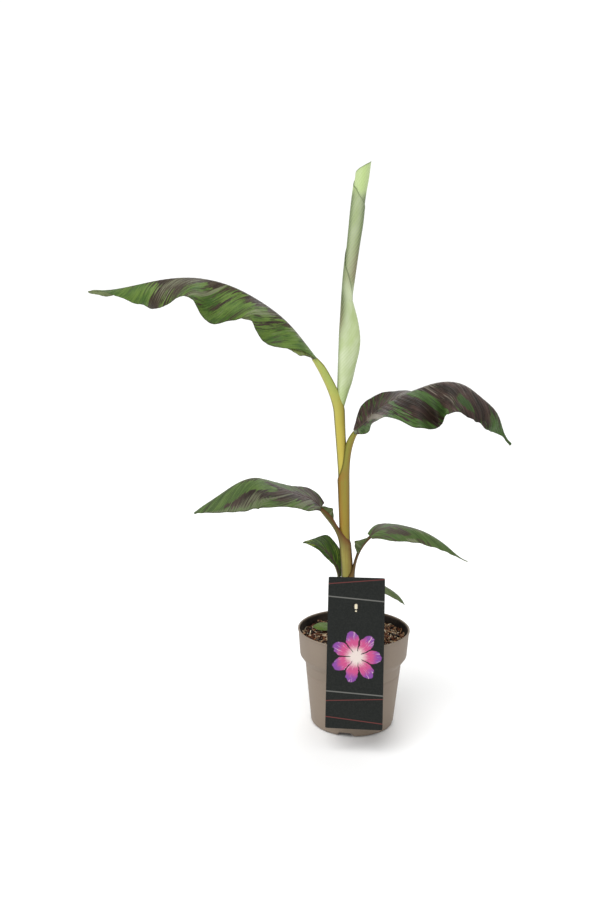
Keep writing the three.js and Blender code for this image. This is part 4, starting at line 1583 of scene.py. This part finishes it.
LEAVES = (
    Leaf(
        name="leaf_upper_left_blade", nodes=("leaf_upper_left_inner", "leaf_upper_left_outer"),
        base=(-42.8, 0.0, 391.9), heading=180, sweep=-4, length=263,
        pitch=(53, 49.5, 36, 27, 13, -2, -12, -11, -1.5),
        front=(6, 16, 32, 35, 42, 41, 39, 45, 46.5, 45, 41.5, 36.5, 32, 22, 14.5, 10, 2),
        back=(3.5, 25.5, 34, 37, 42, 42, 38, 30.5, 22, 12, 3),
        front_hang=(10, 27, 43, 58, 38, 26, 56, 78, 63, 26.5, 26.5, 45, 66, 84, 39, 9.5, 0),
        back_hang=(63, 53, 43.5, 46, 53, 37, 31, 35, 31), rib=(4.2, 0.6),
        finish=leaf_skin("leaf_upper_left_skin"), flush_rib=(0.1, 0.3, 0.5, 0.5, 0.5, 0.5, 0.4, 0.2, 0.0),
        flush_blade=(0.12, 0.18, 0.22, 0.22, 0.2, 0.25, 0.25, 0.15, 0.1),
        patches=((0.57, 0.6, 0.085, 0.5, 0.45), (0.655, 0.8, 0.035, 0.42, 0.8), (0.61, 0.12, 0.1, 0.3, 0.4),
            (0.17, 0.55, 0.018, 0.5, 0.4), (0.29, 0.15, 0.05, 0.3, 0.45), (0.372, 0.5, 0.013, 0.3, 0.4),
            (0.455, 0.5, 0.01, 0.5, 0.3), (0.76, 0.6, 0.06, 0.5, -0.3), (0.9, 0.5, 0.04, 0.7, 0.2),
            (0.6, -0.6, 0.1, 0.6, 0.6), (0.2, -0.5, 0.04, 0.7, 0.3)),
        painted_sheens=((0.1, 0.0, 0.05, 0.25, 0.8), (0.22, 0.45, 0.02, 0.6, 0.8), (0.45, 0.5, 0.012, 0.6, 0.9),
            (0.58, 0.25, 0.08, 0.25, 0.4), (0.62, 0.5, 0.06, 0.4, 0.45)),
        ripple=0.6, vein_gap=6.0, vein_lean=(0.6, 1.0), tip_twist=16.0, rows=320, cells=30, seed=3),
    Leaf(
        name="leaf_upper_right_blade", nodes=("leaf_upper_right_inner", "leaf_upper_right_outer"),
        base=(-3.9, -4.0, 317.5), heading=352, sweep=-10, length=206,
        pitch=(38, 47, 32, 25.5, 20, -2.5, -35, -41, -72.5, -51),
        front=(10, 28, 43, 36, 38.5, 51, 57.5, 48.5, 47.5, 48, 48.5, 45, 40.5, 31.5, 32, 5, 2),
        back=(2, 21.5, 25, 24, 27, 30, 30, 28, 23.5, 16, 7.5, 2),
        front_hang=(11, 18, 7, 11.5, 25, 34.5, 37.5, 65, 56.5, 38.5, 33.5, 25, 25, 29, 20, 29, -8),
        back_hang=(-42, -35, -17, 15.5, 32.5, 40.5, 42.5, 30, -10), rib=(3.6, 0.6),
        finish=leaf_skin("leaf_upper_right_skin", light=shade(76, 108, 48), deep=shade(50, 74, 32),
            flush=shade(76, 54, 50), flush_deep=shade(36, 26, 22), rib=shade(104, 94, 76),
            bloom=shade(146, 138, 124)),
        flush_rib=(0.2, 0.2, 0.15, 0.1, 0.1, 0.1, 0.1, 0.1, 0.0),
        flush_blade=(0.55, 0.6, 0.68, 0.8, 0.9, 0.85, 0.7, 0.35, 0.2),
        patches=((0.352, 0.45, 0.034, 0.6, -1.3), (0.045, 0.7, 0.022, 0.4, -0.5),
            (0.225, 0.35, 0.01, 0.4, -0.7), (0.195, 0.75, 0.009, 0.4, -0.4), (0.3, 0.85, 0.03, 0.14, -0.4),
            (0.27, 0.55, 0.05, 0.4, 0.6), (0.52, 0.62, 0.034, 0.17, -1.8), (0.64, 0.5, 0.07, 0.5, 0.4),
            (0.2, 0.97, 0.12, 0.12, -0.5), (0.82, 0.8, 0.1, 0.4, -0.3), (0.52, -0.95, 0.05, 0.14, -1.4),
            (0.1, -0.5, 0.12, 0.6, 0.1)),
        painted_sheens=((0.105, 0.5, 0.022, 0.7, 1.4), (0.0, 0.6, 0.02, 0.6, 0.5), (0.27, -0.3, 0.08, 0.6, 0.35),
            (0.42, 0.1, 0.05, 0.16, 0.3), (0.6, 0.0, 0.2, 0.12, 0.5), (0.44, 0.5, 0.03, 0.5, 0.2)),
        vein_gap=6.0, vein_lean=(0.15, 1.6), rows=280, cells=30, seed=5),
    Leaf(
        name="leaf_middle_left_blade_sheet", nodes=("leaf_middle_left_blade",), base=(-36.7, -2.2, 235.0),
        heading=186, sweep=4, length=150.7, pitch=(58, 20, 24, 25, -15, -34, -33, -35),
        front=(8, 25.5, 25.5, 30.5, 41, 45, 44.5, 41.5, 30, 19.5, 3),
        back=(12.5, 24.5, 25, 26.5, 25, 24, 20, 12, 3.5), front_hang=(15, 21, 28, 31, 28, 23.5, 6),
        back_hang=(-28, -10, 0.5, 12, 16.5, 13, 7), rib=(3.0, 0.5),
        finish=leaf_skin("leaf_middle_left_skin", light=shade(96, 122, 60), deep=shade(66, 88, 44),
            flush=shade(78, 62, 54), flush_deep=shade(46, 34, 30), rib=shade(74, 30, 32),
            bloom=shade(120, 124, 98)),
        flush_rib=(0.48, 0.46, 0.36, 0.2, 0.05, 0.0), flush_blade=(0.75, 0.6, 0.25, 0.1, 0.05, 0.0, 0.0),
        patches=((0.22, 0.2, 0.1, 0.3, 0.4), (0.36, 0.62, 0.17, 0.22, 0.95), (0.56, 0.68, 0.1, 0.1, 0.6),
            (0.43, 0.28, 0.13, 0.13, -1.1), (0.05, 0.9, 0.1, 0.3, -0.4), (0.35, 1.0, 0.3, 0.12, -0.15),
            (0.1, -0.6, 0.16, 0.5, -0.05), (0.55, 0.9, 0.2, 0.2, 0.25), (0.25, 0.15, 0.12, 0.2, 0.5)),
        painted_sheens=((0.22, 0.55, 0.007, 0.45, 1.7), (0.075, 0.5, 0.03, 0.5, 0.9), (0.35, 0.65, 0.07, 0.12, 0.6),
            (0.0, 0.3, 0.02, 0.8, 1.2), (0.35, 0.9, 0.25, 0.22, 0.7), (0.7, 0.95, 0.2, 0.12, 0.6)),
        ripple=0.5, vein_gap=5.0, vein_lean=(0.6, 1.5), thick=0.45, rows=210, cells=26, seed=7),
    Leaf(
        name="leaf_lower_right_blade_sheet", nodes=("leaf_lower_right_blade",), base=(15.0, -3.0, 205.4),
        heading=8, sweep=-6, length=119, pitch=(44.5, 16.5, -3.5, -15.5, -28.5, -36.5, -42, -21.5),
        front=(6, 20.5, 23.5, 21, 18, 16.5, 11.5, 5.5, 0.8), back=(6.5, 17.5, 20, 19, 16, 12, 8, 3.5, 1.5),
        front_hang=(15, 24, 30, 37, 29.5, 21, -15), back_hang=(-17, 2.5, 8.5, 13, 11.5, 9, -1),
        rib=(2.3, 0.4),
        finish=leaf_skin("leaf_lower_right_skin", light=shade(92, 116, 60), deep=shade(70, 98, 44),
            flush=shade(84, 76, 60), flush_deep=shade(68, 58, 48)),
        flush_rib=(0.3, 0.3, 0.2, 0.1, 0.0, 0.0), flush_blade=(0.35, 0.35, 0.25, 0.05, 0.0, 0.0),
        patches=((0.17, 0.45, 0.12, 0.22, 0.6), (0.34, 0.85, 0.09, 0.14, 0.6),
            (0.09, 0.74, 0.05, 0.14, -0.6), (0.05, 0.15, 0.05, 0.2, -0.4)),
        painted_sheens=((0.2, 0.9, 0.08, 0.12, 1.0), (0.45, 0.1, 0.2, 0.2, 0.5)), ripple=0.4, vein_gap=4.0,
        vein_lean=(0.9, 1.8), thick=0.4, rows=180, cells=22, seed=9),
    Leaf(
        name="leaf_lower_left_blade_sheet", nodes=("leaf_lower_left_blade",), base=(-15.8, 7.0, 158.0),
        heading=165, sweep=0, length=59, pitch=(81, 63, 51, 38, 11.5, -10.5),
        front=(0.8, 1, 6, 7.5, 5.5, 4, 2), back=(3, 9, 15.5, 19.5, 22.5, 23.5, 11.5, 0.8),
        front_hang=(22.5, 21.5, 10.5, 13, 27, 25, -10),
        back_hang=(-35.5, -35, -28, -19.5, -16.5, -10.5, -5.5), rib=(2.0, 0.4),
        finish=leaf_skin("leaf_lower_left_skin", light=shade(92, 126, 32), deep=shade(46, 74, 16),
            rough=0.4, gloss=0.12, bloom=shade(170, 190, 84)),
        flush_rib=(0.7, 0.6, 0.4, 0.1), flush_blade=(0.2, 0.15, 0.1, 0.0),
        # painted highlights near the tip, on both halves
        painted_sheens=((0.8, 0.7, 0.12, 0.4, 1.0), (0.8, -0.7, 0.12, 0.4, 1.0)), ripple=0.3, vein_gap=3.5,
        vein_lean=(0.8, 1.6), thick=0.35, rows=140, cells=22, seed=11),
    Leaf(
        name="leaf_behind_card_blade_sheet", nodes=("leaf_behind_card_blade",), base=(13.0, -8.0, 146.0),
        heading=12, sweep=0, length=52, pitch=(57, 12.5, -20.5, -33, -47.5, -66),
        front=(2, 8.5, 11, 10.5, 11, 8.5, 2.5), back=(2, 8, 10, 9.5, 8, 4.5, 0.8),
        front_hang=(10, 21, 27.5, 25, 22.5), back_hang=(0, 2, 1.5, 8, 6), rib=(1.8, 0.4),
        finish=leaf_skin("leaf_behind_card_skin", light=shade(110, 124, 84), deep=shade(90, 108, 62)),
        flush_rib=(0.1, 0.05, 0.0), flush_blade=(0.0, 0.0, 0.0), ripple=0.3, vein_gap=3.5,
        vein_lean=(0.8, 1.6), thick=0.35, rows=120, cells=18, seed=13),
    Leaf(
        name="leaf_at_soil_blade_sheet", nodes=("leaf_at_soil_blade",), base=(-20.0, 3.5, 101.0),
        heading=176, sweep=0, length=24, pitch=(22, 14, -2, -16), front=(2, 7, 8.5, 7.5, 2),
        back=(2, 7, 8.5, 7.5, 2), front_hang=(10, 18, 20), back_hang=(-12, -8, 0), rib=(1.6, 0.4),
        finish=leaf_skin("leaf_at_soil_skin", light=shade(98, 124, 48), deep=shade(76, 104, 36),
            rib=shade(90, 116, 44)),
        flush_rib=(0.0, 0.0), flush_blade=(0.0, 0.0), ripple=0.2, vein_gap=3.0, vein_lean=(0.8, 1.4),
        thick=0.35, rows=90, cells=16, seed=15),
)

LOBES = (
    Lobe(
        name="lobe_upper_left", foot=((-71.0, -15.5, 403.5), (-61.0, -13.0, 400.5), (-48.0, -6.0, 397.0)),
        margin=((-69.0, -16.0, 399.0), (-59.5, -13.5, 395.4), (-49.0, -7.0, 393.6)),
        finish=leaf_skin("lobe_upper_left_skin", light=shade(134, 148, 84), deep=shade(116, 134, 68)),
        cup=1.0),
    Lobe(
        name="lobe_middle_left", foot=((-37.0, -3.0, 237.0), (-30.5, -2.0, 228.5), (-23.5, -2.0, 220.0)),
        margin=((-33.5, -4.0, 240.4), (-24.6, -5.0, 235.0), (-22.0, -4.0, 225.5)),
        finish=leaf_skin("lobe_middle_left_skin", light=shade(84, 98, 52), deep=shade(58, 72, 36)),
        cup=1.2),
    Lobe(
        name="lobe_lower_right", foot=((15.0, -4.0, 205.2), (7.4, -4.0, 196.0), (2.6, -4.0, 186.5)),
        margin=((8.0, -5.0, 204.4), (-0.8, -6.0, 200.6), (-2.4, -5.0, 193.0)),
        finish=leaf_skin("lobe_lower_right_skin", light=shade(92, 108, 62), deep=shade(72, 88, 46)),
        cup=1.4),
)


# ---------------------------------------------------------------- stage, lights and camera


@dataclass
class Studio:
    """Plain pale floor, soft lights and the camera."""

    eye: Point = (-59.2, -1093.8, 500.5)
    pitch: float = 10.57
    roll: float = 0.557
    focal_px: float = 1075.2
    frame_px: float = 900.0
    sensor: float = 36.0
    floor_half: float = 30.0
    sky: float = 0.72

    def floor(self) -> None:
        """A wide flat sheet just under the pot."""
        half, below = self.floor_half, 0.3 * MM
        corners = [(x * half, y * half, -below) for x, y in ((-1, -1), (1, -1), (1, 1), (-1, 1))]
        mesh = bpy.data.meshes.new("floor")
        mesh.from_pydata(corners, [], [(0, 1, 2, 3)])
        mesh.materials.append(FloorFinish("floor_pale", (0.97, 0.97, 0.97), (0.95, 0.95, 0.95)).material())
        floor = bpy.data.objects.new("floor", mesh)
        bpy.context.scene.collection.objects.link(floor)

    def lamp(self, name: str, kind: str, at: Point, size: float, power: float) -> None:
        """A soft light that looks at the plant's middle.

        Args:
            name: The lamp's name.
            kind: Blender's light type, AREA or SUN.
            at: Its place, in metres.
            size: Its side in metres, or a sun's width in degrees.
            power: Its watts, or a sun's strength.
        """
        light = bpy.data.lights.new(name, kind)
        light.energy = power
        if kind == "SUN":
            light.angle = np.radians(size)
        else:
            light.size = size
        lamp = bpy.data.objects.new(name, light)
        lamp.location = at
        lamp.rotation_euler = (Vector((0, 0, 0.3)) - Vector(at)).to_track_quat("-Z", "Y").to_euler()
        bpy.context.scene.collection.objects.link(lamp)

    def light(self) -> None:
        """White backdrop, an even sky, a broad key from above and the left, and a soft square lamp from
        behind.
        """
        world = bpy.data.worlds.new("sky")
        world.use_nodes = True
        tree = world.node_tree
        background = tree.nodes["Background"]
        background.inputs[0].default_value = (1.0, 1.0, 1.0, 1.0)
        seen = tree.nodes.new("ShaderNodeLightPath")
        level = tree.nodes.new("ShaderNodeMapRange")
        tree.links.new(seen.outputs["Is Camera Ray"], level.inputs["Value"])
        level.inputs["To Min"].default_value, level.inputs["To Max"].default_value = self.sky, 1.05
        tree.links.new(level.outputs[0], background.inputs[1])
        bpy.context.scene.world = world
        self.lamp("key", "SUN", (-0.5, -0.75, 1.5), 50, 1.75)
        self.lamp("back", "AREA", (0.3, 1.3, 1.3), 1.2, 7)
        bpy.context.scene.view_settings.view_transform = "Standard"

    def camera(self) -> None:
        """A level look turned down by the pitch and then turned about its own line of sight."""
        pitch, roll = np.radians(self.pitch), np.radians(self.roll)
        ahead = Vector((0, np.cos(pitch), -np.sin(pitch)))
        right = Vector((1, 0, 0))
        up = right.cross(ahead)
        across = right * np.cos(roll) + up * np.sin(roll)
        upward = up * np.cos(roll) - right * np.sin(roll)
        data = bpy.data.cameras.new("camera")
        data.sensor_width = self.sensor
        data.lens = self.focal_px / self.frame_px * self.sensor
        data.clip_end = 100
        camera = bpy.data.objects.new("camera", data)
        turn = Matrix((across, upward, -ahead)).transposed().to_4x4()
        camera.matrix_world = Matrix.Translation(Vector(self.eye) * MM) @ turn
        bpy.context.scene.collection.objects.link(camera)
        bpy.context.scene.camera = camera

    def build(self) -> None:
        """Sets up the floor, the lights and the camera."""
        self.floor()
        self.light()
        self.camera()


def main() -> None:
    """Builds the studio and the plant, from the pot up."""
    logging.basicConfig(level=logging.INFO, format="%(name)s: %(message)s")
    plant = (Pseudostem(), *STALKS, RolledLeaf(), *LEAVES, *LOBES)
    for part in (Studio(), Pot(), PottingMix(), *plant, LabelCard()):
        part.build()
        LOG.info("built %s", getattr(part, "name", type(part).__name__))


if __name__ == "__main__":
    main()
